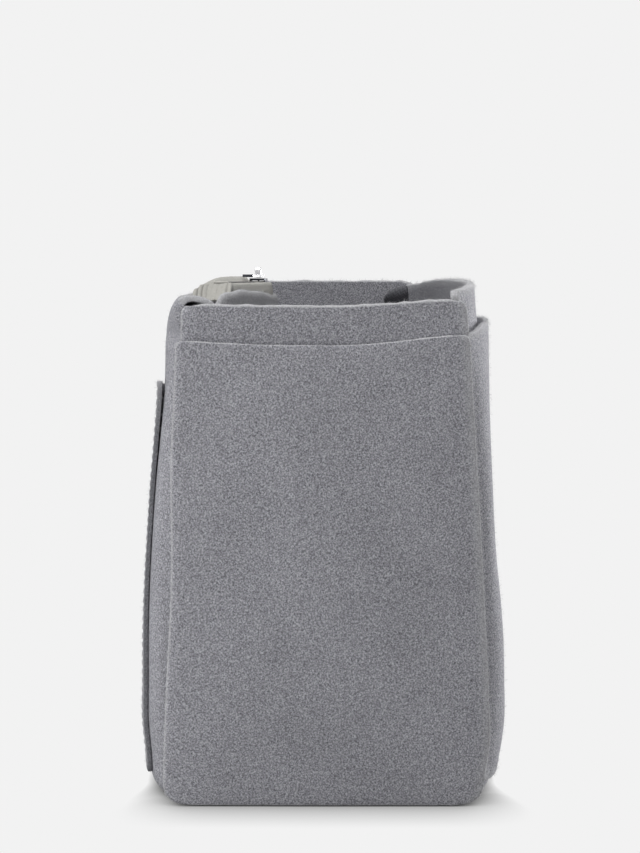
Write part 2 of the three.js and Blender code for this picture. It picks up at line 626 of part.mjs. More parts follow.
const zip = new THREE.Group();
zip.position.copy(zipFar);
zip.quaternion.setFromRotationMatrix(new THREE.Matrix4().makeBasis(zipAcross, zipAlong, zipUp));
organizer.add(zip);
piece(zip, "zip_teeth_left", teethRow(-1, TEETH_PITCH / 2), greyTeeth);
piece(zip, "zip_teeth_right", teethRow(1, 0), greyTeeth);

const stopHeight = TEETH_THICKNESS + 2 * STOP_GROWTH;
const stopMiddle = SEAM_GAP + STOP_LENGTH / 2;
const bottomStop = box(2 * TEETH_OUTER, STOP_LENGTH, stopHeight, 0, -CHAIN_LENGTH - stopMiddle);
const topStopWidth = TEETH_OUTER - TEETH_INNER;
piece(zip, "zip_bottom_stop", bottomStop, silverMetal);
for (const [name, side] of [["left", -1], ["right", 1]]) {
  const x = (side * (TEETH_OUTER + TEETH_INNER)) / 2;
  const topStop = box(topStopWidth, STOP_LENGTH, stopHeight, x, stopMiddle);
  piece(zip, `zip_top_stop_${name}`, topStop, silverMetal);
}

const slider = new THREE.Group();
slider.position.y = -SLIDER_PARK;
zip.add(slider);
piece(slider, "zip_slider_body", sliderBody(), silverMetal);
const bridge = piece(slider, "zip_slider_bridge", sliderBridge(), silverMetal);
bridge.position.z = sliderHalfHeight + SEAM_GAP;
const pull = piece(slider, "zip_pull", pullTab(), silverMetal);
pull.position.z = sliderHalfHeight + PULL_LIFT;
pull.rotation.z = THREE.MathUtils.degToRad(-PULL_YAW);

const strap = new THREE.Group();
const innerHalf = (z) => endHalf(z) - SIDE_COVER - WALL_FELT;
const barHeight = STRAP_TOP - STRAP_LENGTH;
const ringFoot = barHeight - RING_ARM - ringHalf;
const strapRoom = innerHalf(STRAP_TOP) - STRAP_SIDE_GAP - STRAP_WIDTH / 2;
const ringRoom = innerHalf(ringFoot) - RING_SIDE_GAP - ringHalf;
strap.position.set(Math.min(strapRoom, ringRoom), END_INNER - SEAM_GAP, barHeight);
organizer.add(strap);
piece(strap, "key_strap", keyStrap(), blackWebbing);
const ring = piece(strap, "key_ring", keyRing(), gunMetal);
ring.position.y = -loopOuter;

export default organizer;
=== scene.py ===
import math

import bmesh
import bpy
import numpy as np
from mathutils import Matrix, Vector


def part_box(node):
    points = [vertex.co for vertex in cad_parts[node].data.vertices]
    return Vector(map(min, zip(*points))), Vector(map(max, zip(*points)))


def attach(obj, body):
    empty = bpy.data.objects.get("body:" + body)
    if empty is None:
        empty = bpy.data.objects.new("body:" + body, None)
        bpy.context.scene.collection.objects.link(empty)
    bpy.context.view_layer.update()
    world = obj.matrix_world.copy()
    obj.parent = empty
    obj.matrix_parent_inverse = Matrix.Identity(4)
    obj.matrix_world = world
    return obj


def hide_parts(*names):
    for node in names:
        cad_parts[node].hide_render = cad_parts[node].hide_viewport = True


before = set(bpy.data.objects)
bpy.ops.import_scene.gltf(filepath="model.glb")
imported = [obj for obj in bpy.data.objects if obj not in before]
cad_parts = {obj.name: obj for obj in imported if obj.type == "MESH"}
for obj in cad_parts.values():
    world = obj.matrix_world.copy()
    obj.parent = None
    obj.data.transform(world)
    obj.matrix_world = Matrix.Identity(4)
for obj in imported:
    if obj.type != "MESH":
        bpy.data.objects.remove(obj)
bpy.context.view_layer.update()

MM = 0.001
QUARTER = math.pi / 2
FULL_TURN = 2 * math.pi

# Felt body
LENGTH = 250  # over both end pockets
BASE_WIDTH = 112  # end panels at the floor
TOP_WIDTH = 98.4  # end panels at their top edge
END_HEIGHT = 173
RIGHT_HEIGHT = 178
LEFT_HEIGHT = 174.5
WALL_FELT = 3
POCKET_FELT = 2
LAYER_GAP = 0.4
SEAM_GAP = 0.3
FLOOR_RADIUS = 10
FOLD_RADIUS = 7  # outer fold of the body along the floor
RIGHT_BOW_TOP = 7.9
RIGHT_BOW_FOOT = 9.3
LEFT_BOW_TOP = 7.5
LEFT_BOW_FOOT = 12
CURL_HEIGHT = 13  # top strip of the left wall, which the zip pulls inwards
CURL_LEAN = 64  # degrees
CURL_POWER = 2.3
BASE_LEAN = 2.1  # how far the soft body leans over at the floor, to the right
END_SQUARE = 9  # stretch at each end where a wall's cut edge turns square to the end panel
FAR_PINCH = 6  # how far the far right corner is drawn in at its top
PINCH_ALONG = (0, 115)
PINCH_UP = (110, 175)
PINCH_ACROSS = (20, 50)
FAR_DIP = 2.5  # how far the left wall's top edge sinks at the far end
FAR_DIP_ALONG = (50, 110)
RIGHT_END_OUT = 0.5  # how far the right wall leans out above its pocket
RIGHT_END_UP = (150, 175)
WALL_RIM = 0.7  # how far a rounded rim stands past the edge of its face, here and in the RIM sizes below
# Height, and how much fuller the soft wall is there
LEFT_FILL = (
    (0, -2.4), (12, -1.6), (26, 0.3), (40, 0.6), (55, 0.9), (83, 0.8),
    (111, 0.1), (125, -0.6), (140, -1.1), (160, -0.4), (176, 0),
)
RIGHT_FILL = (
    (0, -3.2), (9, -2.5), (17, -0.5), (24, 0.7), (39, 1.2), (53, 1.3), (68, 0.8), (82, 0),
    (110, -0.2), (125, 0), (139, 0.6), (150, 1.2), (160, 1.6), (170, 1.2), (180, 1.1),
)
# Height, and the power of the wall's bow there: a higher one runs straight for longer before it turns in
LEFT_BOW = ((0, 14), (30, 16), (60, 20), (130, 20), (150, 14), (180, 12))
RIGHT_BOW = ((0, 12), (30, 14), (60, 20), (125, 20), (139, 14), (150, 10), (165, 7), (180, 6))
# Place along the right wall, and the height of its top edge there
RIGHT_EDGE = ((-120, 178), (-100, 179), (-60, 179), (0, 177.8), (60, 176.1), (90, 174.4), (120, 171.8))

# Near top corner of the left wall, which rolls over in a lip
LIP_LENGTH = 30  # how far along the wall the lip fades out
LIP_FELT = 2.0  # felt pressed thinner where it rolls
LIP_THIN_ROWS = (8, 4)
LIP_BULGE = 3.2  # felt crowded thicker inside the bend
LIP_BEND_ROW = 9
LIP_BEND_SPREAD = 2.5
LIP_ROWS = 7  # rows of the strip whose cut end shows
LIP_DRAW = 3.2  # how far the lip draws the tape in at the near end
LIP_DRAW_RIM = 0.7  # share of that at the wall's rim
# x and z across the lip at the near end, from the wall up and over
LIP_CURVE = (
    (-47.2, 161.5), (-48.3, 165.5), (-49.3, 169.5), (-49.7, 172.6), (-48.6, 174.9),
    (-46.2, 175.9), (-43.4, 176.2), (-40.0, 175.6), (-36.9, 174.3), (-35.2, 172.9),
)

# Painted shade in the seams at the walls' ends, darkest at the lower left
SEAM_SHADE_WIDTH = 5
SEAM_SHADE_HIGH = 0.25
SEAM_SHADE_LOW = 0.9
SEAM_SHADE_RIGHT = 0.95
SEAM_SHADE_LOW_UP = (90, 30)
SEAM_SHADE_UP = (166, 158)
PAINTED_CREASE_SHADE = 0.45  # share of its colour that cloth keeps under the deepest painted shade of a crease
SEAM_PALE = 0.1  # how pale a cut edge is that is turned into a seam

# End panels and end pockets
END_FOOT_RADIUS = 6.5  # lower corners
END_HEAD_RADIUS = 2.6  # upper corners of the panels
END_CLEAR = 0.85  # lower edge above the floor
END_RIM = 0.4
EDGE_ROLL = 3.5  # stretch along the sides where the felt rolls down to the seam
EDGE_DROP = 1.3  # how far it rolls down
EDGE_DROP_RIGHT = 0.5  # the same at the right-hand seam
EDGE_FOOT = 1  # the roll along the foot starts this far below the floor
EDGE_PALE = 1.0  # width of the pale rim along the sides
EDGE_PALE_SHARE = 0.75
EDGE_LIGHT_WIDTH = 4  # width of the faintly paler band of painted light along the right side, where the edge turns to the light
EDGE_LIGHT_SHARE = 0.55
END_LIFT_ACROSS = (0.1, 1)  # shares of the half width, for a top edge that rises to the right
END_POCKET_HEIGHT = END_HEIGHT - 12
END_POCKET_SWELL = 2.4  # how far an end pocket rounds outwards at its middle
# Height, and how much wider the end pieces are there
END_LEFT_FILL = (
    (0, 0.8), (24, 1.0), (40, 0.6), (70, -0.3), (100, -0.1), (121, 0.4), (141, 0), (162, -0.35),
)
END_RIGHT_FILL = (
    (0, -2.0), (10, -0.5), (24, 2.0), (38, 2.2), (80, 2.0), (121, 1.6), (141, 1.15), (162, 0.9), (175, 0.4),
)

# Slip pockets along the walls
RIGHT_POCKET_TOP = RIGHT_HEIGHT - 15.5
RIGHT_POCKET_SAG = 2
RIGHT_POCKET_FOOT = 8
RIGHT_POCKET_GAPE = 5
RIGHT_POCKET_LIFT = 3.0  # how far its top edge rises behind the near corner
RIGHT_LIFT_RUN = 24  # stretch behind the near corner over which it rises
RIGHT_LIFT_ALONG = (60, -60)
LEFT_POCKET_TOP = LEFT_HEIGHT - 29
LEFT_POCKET_SAG = 8
LEFT_POCKET_FOOT = 9
LEFT_POCKET_MARGIN = 20
LEFT_POCKET_GAPE = 1.2
LEFT_POCKET_FELT = 1.5  # pressed thinner than the other pockets
LEFT_POCKET_GAP = 0.25
LEFT_POCKET_LIP = 0.9  # how far its top edge stands off at both ends
BINDING_WIDTH = 1.6
BINDING_LINES = (0.15, 0.5, 0.85)  # shares of its width, less its rounded rims
BINDING_PALE = 0.25  # how pale its cut edge is
BINDING_PALE_TOP = 22  # stretch below its top ends over which it turns paler
INNER_POCKET_TOP = RIGHT_HEIGHT - 60
INNER_POCKET_FOOT = 14
INNER_POCKET_MARGIN = 27
INNER_POCKET_GAPE = 8
INNER_POCKET_BELLIES = 2

# Floor
BOARD_THICKNESS = 1.5
BOARD_MARGIN = 2
LINING_LAP = 4

# Zipped pocket
ZIP_NEAR_MARGIN = 45
ZIP_FAR_MARGIN = 30
ZIP_NEAR_INSET = 13.9
ZIP_FAR_INSET = 21.9
ZIP_NEAR_RISE = 4
ZIP_FAR_RISE = -1.2
TAPE_THICKNESS = 0.7
TAPE_SEW = 14
TAPE_RIM = 1.5  # below the wall's top, where the tape leaves the wall
TAPE_HANG = 9
TAPE_NEAR_TAIL = 22
TAPE_FAR_TAIL = 8
TAPE_DIP = 5.5  # how far the near tail bends down
TAPE_TAIL_GAP = 0.5
TAPE_CLOSED = 1 / 6  # share of the near tail over which the tapes come together
# Place along the zip, and how far the left tape swells above it there
TAPE_RIDGE = ((-105, -0.6), (-80, -0.3), (-60, 0.6), (-40, 1.5), (-20, 2.1), (20, 2.5), (95, 2.4))
TAPE_RIDGE_SIDE = 2.2  # from the flat part of the tape to the top of the swelling
TAPE_SLOPE = (0.45, 0.5)  # shares across and up of the way from the wall to the swelling
TAPE_FLAT_RISE = 0.1
PLEAT_PITCH = 1.7  # gathers in the near tail
PLEAT_DEPTH = 0.5
PLEAT_ALONG = (0, 1 / 3)  # shares of the tail
PLEAT_LEFT_ACROSS = (0.05, 0.35)  # shares of the tape's width
PLEAT_RIGHT_ACROSS = (0.98, 0.78)
FRONT_DROP = 2.4
FRONT_FOOT = 46
FRONT_CORNER = 12
FRONT_MARGIN = 4
FRONT_SEW = 0.05
FRONT_RIM = 0.5
FRONT_NEAR_DROP = 12  # how far its top edge falls where it turns in behind the near end panel
FRONT_TURN_ACROSS = (0.8, 0.2)  # how much it still looks to the right there
FRONT_NEAR_LIFT = 1.2  # its top edge is tilted, higher at the near end
FRONT_LIFT_ALONG = (0, -90)
FRONT_FAR_DROP = 2.2
FRONT_DROP_ALONG = (0, 95)
FRONT_ROLL_START = 0.978  # share of its height where its rim starts to round over
FRONT_ROLL = 1.5  # how far the rim rounds over
FRONT_PAINTED_LIGHT = 0.5  # how much light is painted on its upper part, which lies in shade; that part is also fuzzier
FRONT_PAINTED_LIGHT_UP = (0.88, 0.98)  # shares of its height
FRONT_RIM_PALE = 0.9
FRONT_RIM_UP = (0, 0.6)  # shares of its rim

# Zip hardware
TEETH_PITCH = 3
TEETH_OUTER = 2.6
STOP_LENGTH = 2.4
SLIDER_WIDTH = 8
SLIDER_CLEARANCE = 0.4
REFLECTION_RIM = 0.35  # plated rim round the painted dark reflection on the pull's face
# depth to which the painted dark reflection is let into the pull
REFLECTION_DEPTH = 0.12
# Tooth from head to bead: distance from the middle of the zip, half length along it, half height
TOOTH_STATIONS = (
    (0.34, 0.36, 0.5), (0.5, 0.6, 0.8), (1.0, 0.52, 0.86), (1.45, 0.56, 0.86),
    (2.0, 0.7, 0.9), (2.45, 0.66, 0.84), (2.6, 0.45, 0.6),
)
TOOTH_BEVEL = 0.55  # share of each half that stays flat

# Key strap
STRAP_WIDTH = 11.5
STRAP_THICKNESS = 1.4
STRAP_LENGTH = 44
STRAP_RIM = 0.35
STRAP_NECK = 9
STRAP_NECK_OUT = 0.9  # how far it still stands off part of the way up the neck
STRAP_NECK_SHARE = 0.55  # that part
STRAP_LAP = 20
STRAP_LAP_GAP = 0.15
STRAP_HEM = 11  # length of the hem folded over at its top
STRAP_HEM_BEND = 7
STRAP_HEM_GAP = 0.2
STRAP_FOLD = 1.7  # radius of that fold
STRAP_FOLD_TOP = 1.6  # room above it
STRAP_FOLD_DROP = 1.2  # from the top to the middle of the fold
STRAP_FOLD_LENGTH = 5  # from the top to where the back lies flat
STRAP_BACK_FOOT = 1  # height above the bar where the back turns round it
STRAP_CORNER = 5  # rounded corner of its fold
STRAP_CORNER_RISE = 0.7
STRAP_TILT = 1.2  # how far its top is tilted
STRAP_TILT_LENGTH = 9
STRAP_LEAN = 2.4  # how far its top leans away from the drawn-in corner
STRAP_LEAN_START = 4
RING_WIRE = 2.2
RING_ROOM = 0.5
RING_ARM = 4
RING_CORNER = 1.3
RING_CLEARANCE = 0.45

# Stitches and loose fibres
THREAD_RADIUS = 0.24
STITCH_LENGTH = 2.3
STITCH_PITCH = 3.2
STITCH_SEAT = 0.03  # middle of a stitch above the cloth
STITCH_REACH = 0.4  # its heading is taken from this far before and behind it
FACE_FIBRES = 0.22  # per square millimetre
WRAP_FIBRES = 0.6  # share of that on the body wrap
EDGE_FIBRES = 1.4
FIBRE_LENGTH = 1.15
FIBRE_WIDTH = 0.05
FIBRE_CLEAR = 3.0  # no fibres below this height
FIBRE_DROOP = 260  # bend of a fibre, per metre
FIBRE_SIZES = (0.45, 1.3)  # least and most of its length
FIBRE_LEAN_LEAST = (0.25, -0.4, 0.0)  # radians about its own axes
FIBRE_LEAN_MOST = (1.25, 0.4, FULL_TURN)
FIBRE_SEED = 100.0

# Steps of the meshes
FELT_PITCH = 2.5
STRIP_ROWS = 14  # of the left wall's top strip
FOLD_ROWS = 8
FLOOR_ROWS = 40
RIGHT_ROWS = 70
POCKET_ROWS = 62
END_COLUMNS = 49
FOOT_ROWS = 9  # of an end piece's lower corners
HEAD_ROWS = 7  # of its upper corners
BINDING_UP_STEPS = 56
BINDING_ALONG_STEPS = 86
LINING_COLUMNS = 46
FRONT_CORNER_STEPS = 9
FRONT_ROWS = 53
FRONT_RIM_ROWS = 9
TAIL_PITCH = 0.8
TAPE_PITCH = 2
TAPE_COLUMNS = 96
STRAP_ROWS = 150
STRAP_COLUMNS = 15
STRAP_FOLD_STEPS = 9
STRAP_BACK_STEPS = 14
STRAP_LOOP_STEPS = 13
RING_BAR_STEPS = 12
RING_CORNER_STEPS = 6
RING_ARM_STEPS = 4
RING_BOW_STEPS = 32
RING_SIDES = 14
RIM_STEPS = 5
RIM_POWER = 0.6  # below 1, a cut edge is squarer than a half-round
RIM_BLEND = 0.45  # how much of the rim's look the edge of the face has
RIM_WAVES = ((0.35, 7, 5), (0.25, 2.6, 9))  # raggedness: share of the rim, wave length and step of the seed

# Values worked out from the ones above
HALF_LENGTH = LENGTH / 2
END_FACE = HALF_LENGTH - POCKET_FELT - LAYER_GAP
END_INNER = END_FACE - WALL_FELT
WALL_END = END_INNER - SEAM_GAP
SIDE_COVER = LAYER_GAP + POCKET_FELT
CURL_RADIUS = CURL_HEIGHT / math.sin(math.radians(CURL_LEAN))
LEFT_POCKET_HALF = HALF_LENGTH - LEFT_POCKET_MARGIN
TAPE_EDGE = TEETH_OUTER + SEAM_GAP
TAPE_FLAT = SLIDER_WIDTH / 2 + SLIDER_CLEARANCE
FRONT_OFFSET = TAPE_FLAT + TAPE_THICKNESS + LAYER_GAP + SEAM_GAP
FRONT_END = WALL_END - FRONT_MARGIN
LOOP_INNER = RING_WIRE / 2 + RING_CLEARANCE
LOOP_OUTER = LOOP_INNER + STRAP_THICKNESS
strap_lo, strap_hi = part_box("key_strap")
STRAP_X = (strap_lo[0] + strap_hi[0]) / 2 / MM
STRAP_WALL = strap_hi[1] / MM  # the face of the end panel that it is sewn to
BAR_HEIGHT = strap_hi[2] / MM - STRAP_LENGTH


# Small helpers for numbers and curves
def mix(start, end, share):
    return start + (end - start) * share


def ease(share):
    share = np.clip(share, 0, 1)
    return share * share * (3 - 2 * share)


def fade_in(value, start, end):
    """0 at the start and 1 at the end, smooth between them. The end may lie below the start."""
    return ease((value - start) / (end - start))


def corner_draw(radius, past):
    past = np.clip(past, 0, radius)
    return radius - np.sqrt(radius**2 - past**2)


def arc(middle, radius, start, end, steps):
    """Points on an arc in a plane, as pairs."""
    turns = np.linspace(start, end, steps)
    return [(middle[0] + radius * math.cos(t), middle[1] + radius * math.sin(t)) for t in turns]


def span(start, end, pitch):
    return np.linspace(start, end, max(int(abs(end - start) / pitch), 1) + 1)


def grid(rows, columns):
    return np.meshgrid(rows, columns, indexing="ij")


def stack(*parts):
    return np.stack(np.broadcast_arrays(*parts), axis=-1).astype(float)


def unit(vectors):
    return vectors / np.maximum(np.linalg.norm(vectors, axis=-1, keepdims=True), 1e-9)


def run_of(points):
    """Distance from the first point of a line, or of each column of a grid."""
    steps = np.linalg.norm(np.diff(points, axis=0), axis=-1)
    return np.concatenate([np.zeros_like(steps[:1]), np.cumsum(steps, axis=0)])


def smooth_curve(knots, values, place):
    """Values at places on a smooth curve through the values at the knots."""
    slopes = np.gradient(values, knots, axis=0)
    left = np.clip(np.searchsorted(knots, place, side="right") - 1, 0, len(knots) - 2)
    width = knots[left + 1] - knots[left]
    t = (place - knots[left]) / width
    if values.ndim > 1:
        width = width[..., None]
        t = t[..., None]
    near = (1 + 2 * t) * (1 - t) ** 2 * values[left] + t * (1 - t) ** 2 * width * slopes[left]
    far = t**2 * (3 - 2 * t) * values[left + 1] - t**2 * (1 - t) * width * slopes[left + 1]
    return near + far


def through(points, share):
    """Points along a smooth curve through the given ones, at shares of its length."""
    points = np.asarray(points, float)
    run = run_of(points)
    return smooth_curve(run / run[-1], points, share)


def level_on(curve, place):
    """The value at a place of a smooth curve through pairs of place and value."""
    places, values = np.asarray(curve, float).T
    return smooth_curve(places, values, np.clip(place, places[0], places[-1]))


def waves(points, length, seed):
    """Gentle unevenness between about -1 and 1, with waves of the given length in millimetres."""
    count = 7
    shortest, longest = 0.7, 1.5
    usual_peak = 4
    draw = np.random.default_rng(seed)
    total = np.zeros(points.shape[:-1])
    for _ in range(count):
        direction = unit(draw.normal(size=3)) * FULL_TURN / (length * draw.uniform(shortest, longest))
        total += np.sin(points @ direction + draw.uniform(0, FULL_TURN))
    return total / usual_peak


# The body's curves. Side is -1 on the left wall and 1 on the right wall.
def fullness(y, power):
    return 1 - np.abs(np.clip(y / WALL_END, -1, 1)) ** power


def end_half(z):
    return mix(BASE_WIDTH, TOP_WIDTH, z / END_HEIGHT) / 2


def left_curl(z):
    return corner_draw(CURL_RADIUS, z - (LEFT_HEIGHT - CURL_HEIGHT))


def left_swell(z):
    return mix(LEFT_BOW_FOOT, LEFT_BOW_TOP, z / LEFT_HEIGHT) + level_on(LEFT_FILL, z)


def right_swell(z):
    return mix(RIGHT_BOW_FOOT, RIGHT_BOW_TOP, z / RIGHT_HEIGHT) + level_on(RIGHT_FILL, z)


def wall_half(side, y, z):
    half = end_half(z) - SIDE_COVER
    if side < 0:
        bow = fullness(y, level_on(LEFT_BOW, z)) * left_swell(z)
        return half + bow - fullness(y, CURL_POWER) * left_curl(z)
    bow = fullness(y, level_on(RIGHT_BOW, z)) * right_swell(z)
    return half + bow + RIGHT_END_OUT * fade_in(z, *RIGHT_END_UP)


def wall_slope(side, y, z):
    step = 0.01
    return (wall_half(side, y, z) - wall_half(side, y, z - step)) / step


def on_wall(side, y, z, out):
    """A long wall's outer face at y and z, moved out along its normal."""
    slope = wall_slope(side, y, z)
    shift = out / np.hypot(1, slope)
    return stack(side * (wall_half(side, y, z) + shift), y, z - shift * slope)


def inside_left(y, z, depth):
    level = np.minimum(z, LEFT_HEIGHT)
    return depth * np.hypot(1, wall_slope(-1, y, level)) - wall_half(-1, y, level)


def settled(points):
    """The soft body leans over a little towards the floor, and its far right corner is drawn in."""
    x, y, z = np.moveaxis(points, -1, 0)
    lean = BASE_LEAN * np.clip(1 - z / END_HEIGHT, 0, 1)
    pinch = FAR_PINCH * fade_in(y, *PINCH_ALONG) * fade_in(z, *PINCH_UP) * fade_in(x, *PINCH_ACROSS)
    return stack(x + lean - pinch, y, z)


def lip_share(y):
    return fade_in(-y, WALL_END - LIP_LENGTH, WALL_END)


# The zip's straight line
def zip_end(inset, y, rise):
    return np.array([inset - TOP_WIDTH / 2, y, LEFT_HEIGHT + rise])


zip_near = zip_end(ZIP_NEAR_INSET, ZIP_NEAR_MARGIN - HALF_LENGTH, ZIP_NEAR_RISE)
zip_far = zip_end(ZIP_FAR_INSET, HALF_LENGTH - ZIP_FAR_MARGIN, ZIP_FAR_RISE)
zip_along = unit(zip_far - zip_near)
zip_across = unit(np.cross(zip_along, [0, 0, 1]))
zip_up = np.cross(zip_across, zip_along)
CHAIN_LENGTH = float(np.linalg.norm(zip_far - zip_near))
TAIL_START = zip_near[1] - STOP_LENGTH - 2 * SEAM_GAP


def zip_share(y):
    return (y - zip_near[1]) / (zip_far[1] - zip_near[1])


def zip_x(y):
    return mix(zip_near[0], zip_far[0], zip_share(y))


def zip_z(y):
    return mix(zip_near[2], zip_far[2], zip_share(y))


def tail_share(y):
    return np.maximum((TAIL_START - y) / TAPE_NEAR_TAIL, 0)


def tape_dip(y):
    return TAPE_DIP * np.minimum(tail_share(y), 1) ** 2


def tape_edge(y):
    return mix(TAPE_EDGE, TAPE_TAIL_GAP / 2, np.minimum(tail_share(y) / TAPE_CLOSED, 1))


def front_top(y):
    return zip_z(np.clip(y, zip_near[1], zip_far[1])) - FRONT_DROP


def front_x(y, share, x):
    z = mix(FRONT_FOOT, front_top(y), share)
    wall = inside_left(y, z, WALL_FELT + LAYER_GAP)
    depth = mix(FRONT_SEW, 1, np.sin(QUARTER * share))
    return mix(wall, np.maximum(x, wall), depth)


def front_inside(y, z):
    share = (z - FRONT_FOOT) / (front_top(y) - FRONT_FOOT)
    draw = corner_draw(FRONT_CORNER, np.abs(y) - FRONT_END + FRONT_CORNER)
    return front_x(y, share, zip_x(y) + FRONT_OFFSET - draw)


# Nodes and materials. A Map Range has its old limits at 1 and 2 and its new ones at 3 and 4, and a Mix
# has its two colours at 6 and 7.
RGBA = {"data_type": "RGBA"}
SHADED = {"data_type": "RGBA", "blend_type": "MULTIPLY"}


def add(tree, kind, inputs=None, **settings):
    """Adds a node with its settings. An input is a value, or an output to link from."""
    made = tree.nodes.new(kind)
    for key, value in settings.items():
        setattr(made, key, value)
    for key, value in (inputs or {}).items():
        if isinstance(value, bpy.types.NodeSocket):
            tree.links.new(value, made.inputs[key])
        else:
            made.inputs[key].default_value = value
    return made


def linear(code):
    """A linear colour from an sRGB hex value."""
    parts = [int(code[i : i + 2], 16) / 255 for i in (1, 3, 5)]
    return tuple(c / 12.92 if c <= 0.04045 else ((c + 0.055) / 1.055) ** 2.4 for c in parts) + (1.0,)


def new_material(name):
    material = bpy.data.materials.new(name)
    material.use_nodes = True
    material.node_tree.nodes.clear()
    return material, material.node_tree


def per_mm(size):
    """The scale of a pattern on Object coordinates whose features are this many millimetres."""
    return 1 / (size * MM)


def painted_shade_factor(tree):
    """How much of its colour cloth keeps under the shade painted into a fold or a seam, from the piece's own
    attribute.
    """
    crease = add(tree, "ShaderNodeAttribute", attribute_name="crease").outputs["Fac"]
    return add(tree, "ShaderNodeMapRange", {"Value": crease, 3: 1.0, 4: PAINTED_CREASE_SHADE}).outputs[0]


def pressed_felt(name, dark, middle, light, pale_colour):
    """Needle-pressed felt: matt, heathered in every direction, paler at cut edges and under painted light,
    with painted shade in creases.
    """
    material, tree = new_material(name)
    # Turned off the object's axes, so that no flat face lies along the noise's own grid.
    place = add(tree, "ShaderNodeTexCoord").outputs["Object"]
    at = add(tree, "ShaderNodeMapping", {"Vector": place, "Rotation": (0.6, 0.4, 0.9)}).outputs[0]
    fine = {"Vector": at, "Scale": per_mm(0.55), "Detail": 3, "Roughness": 0.6}
    worm = {"Vector": at, "Scale": per_mm(1.3), "Detail": 2, "Distortion": 1.6}
    broad = {"Vector": at, "Scale": per_mm(30), "Detail": 2}
    noises = [add(tree, "ShaderNodeTexNoise", kind).outputs["Fac"] for kind in (fine, worm, broad)]
    grain, strand, cloud = noises
    # Single hairs lie where the strands' noise crosses its middle.
    off = add(tree, "ShaderNodeMath", {0: strand, 1: 0.5}, operation="SUBTRACT").outputs[0]
    away = add(tree, "ShaderNodeMath", {0: off}, operation="ABSOLUTE").outputs[0]
    hair = add(tree, "ShaderNodeMapRange", {"Value": away, 1: 0.0, 2: 0.035, 3: 0.3, 4: 0.0}).outputs[0]
    ramp = add(tree, "ShaderNodeValToRGB", {"Fac": grain})
    stops = ramp.color_ramp.elements
    stops.new(0.5)
    for stop, position, code in zip(stops, (0.3, 0.5, 0.72), (dark, middle, light)):
        stop.position = position
        stop.color = linear(code)
    heather = ramp.outputs["Color"]
    haired = add(tree, "ShaderNodeMix", {0: hair, 6: heather, 7: linear(light)}, **RGBA).outputs[2]
    tone = add(tree, "ShaderNodeMapRange", {"Value": cloud, 1: 0.3, 2: 0.7, 3: 0.94, 4: 1.06}).outputs[0]
    toned = add(tree, "ShaderNodeMix", {0: 1.0, 6: haired, 7: tone}, **SHADED).outputs[2]
    # Paler at cut edges, and where light is painted onto a face.
    pale_amount = add(tree, "ShaderNodeAttribute", attribute_name="cut_edge").outputs["Fac"]
    pale_share = add(tree, "ShaderNodeMath", {0: pale_amount, 1: 0.55}, operation="MULTIPLY").outputs[0]
    paled = add(tree, "ShaderNodeMix", {0: pale_share, 6: toned, 7: linear(pale_colour)}, **RGBA).outputs[2]
    # Shade painted into creases and seams darkens the colour.
    colour = add(tree, "ShaderNodeMix", {0: 1.0, 6: paled, 7: painted_shade_factor(tree)}, **SHADED).outputs[2]
    height = add(tree, "ShaderNodeMath", {0: grain, 1: hair}, operation="ADD").outputs[0]
    bump = add(tree, "ShaderNodeBump", {"Height": height, "Strength": 0.4, "Distance": 0.35 * MM}).outputs[0]
    surface = {"Base Color": colour, "Roughness": 0.95, "Specular IOR Level": 0.2, "Normal": bump}
    sheen = {"Sheen Weight": 0.04, "Sheen Roughness": 0.5}
    shader = add(tree, "ShaderNodeBsdfPrincipled", {**surface, **sheen}).outputs[0]
    add(tree, "ShaderNodeOutputMaterial", {"Surface": shader})
    return material


def woven(name, warp, weft, across, along, rib, roughness):
    """Woven band: raised threads in a herringbone or rib, on the band's own UV map."""
    material, tree = new_material(name)
    # The UV map is in metres, across the band and along it.
    at = add(tree, "ShaderNodeUVMap", uv_map="band").outputs[0]
    split = add(tree, "ShaderNodeSeparateXYZ", {0: at}).outputs
    column = add(tree, "ShaderNodeMath", {0: split[0], 1: per_mm(across)}, operation="MULTIPLY").outputs[0]
    row = add(tree, "ShaderNodeMath", {0: split[1], 1: per_mm(along)}, operation="MULTIPLY").outputs[0]
    zigzag = add(tree, "ShaderNodeMath", {0: column, 1: rib}, operation="PINGPONG").outputs[0]
    slant = add(tree, "ShaderNodeMath", {0: row, 1: zigzag}, operation="ADD").outputs[0]
    ridge = add(tree, "ShaderNodeMath", {0: slant, 1: 0.5}, operation="PINGPONG").outputs[0]
    height = add(tree, "ShaderNodeMath", {0: ridge, 1: 2.0}, operation="MULTIPLY").outputs[0]
    place = add(tree, "ShaderNodeTexCoord").outputs["Object"]
    specks = {"Vector": place, "Scale": per_mm(1.2), "Detail": 3}
    fuzz = add(tree, "ShaderNodeTexNoise", specks).outputs["Fac"]
    shade = add(tree, "ShaderNodeMath", {0: height, 1: fuzz}, operation="MULTIPLY").outputs[0]
    threads = add(tree, "ShaderNodeMix", {0: shade, 6: linear(weft), 7: linear(warp)}, **RGBA).outputs[2]
    # Shade painted into folds darkens the colour.
    colour = add(tree, "ShaderNodeMix", {0: 1.0, 6: threads, 7: painted_shade_factor(tree)}, **SHADED).outputs[2]
    bump = add(tree, "ShaderNodeBump", {"Height": height, "Strength": 0.5, "Distance": 0.25 * MM}).outputs[0]
    surface = {"Base Color": colour, "Roughness": roughness, "Specular IOR Level": 0.3, "Normal": bump}
    shader = add(tree, "ShaderNodeBsdfPrincipled", {**surface, "Sheen Weight": 0.15}).outputs[0]
    add(tree, "ShaderNodeOutputMaterial", {"Surface": shader})
    return material


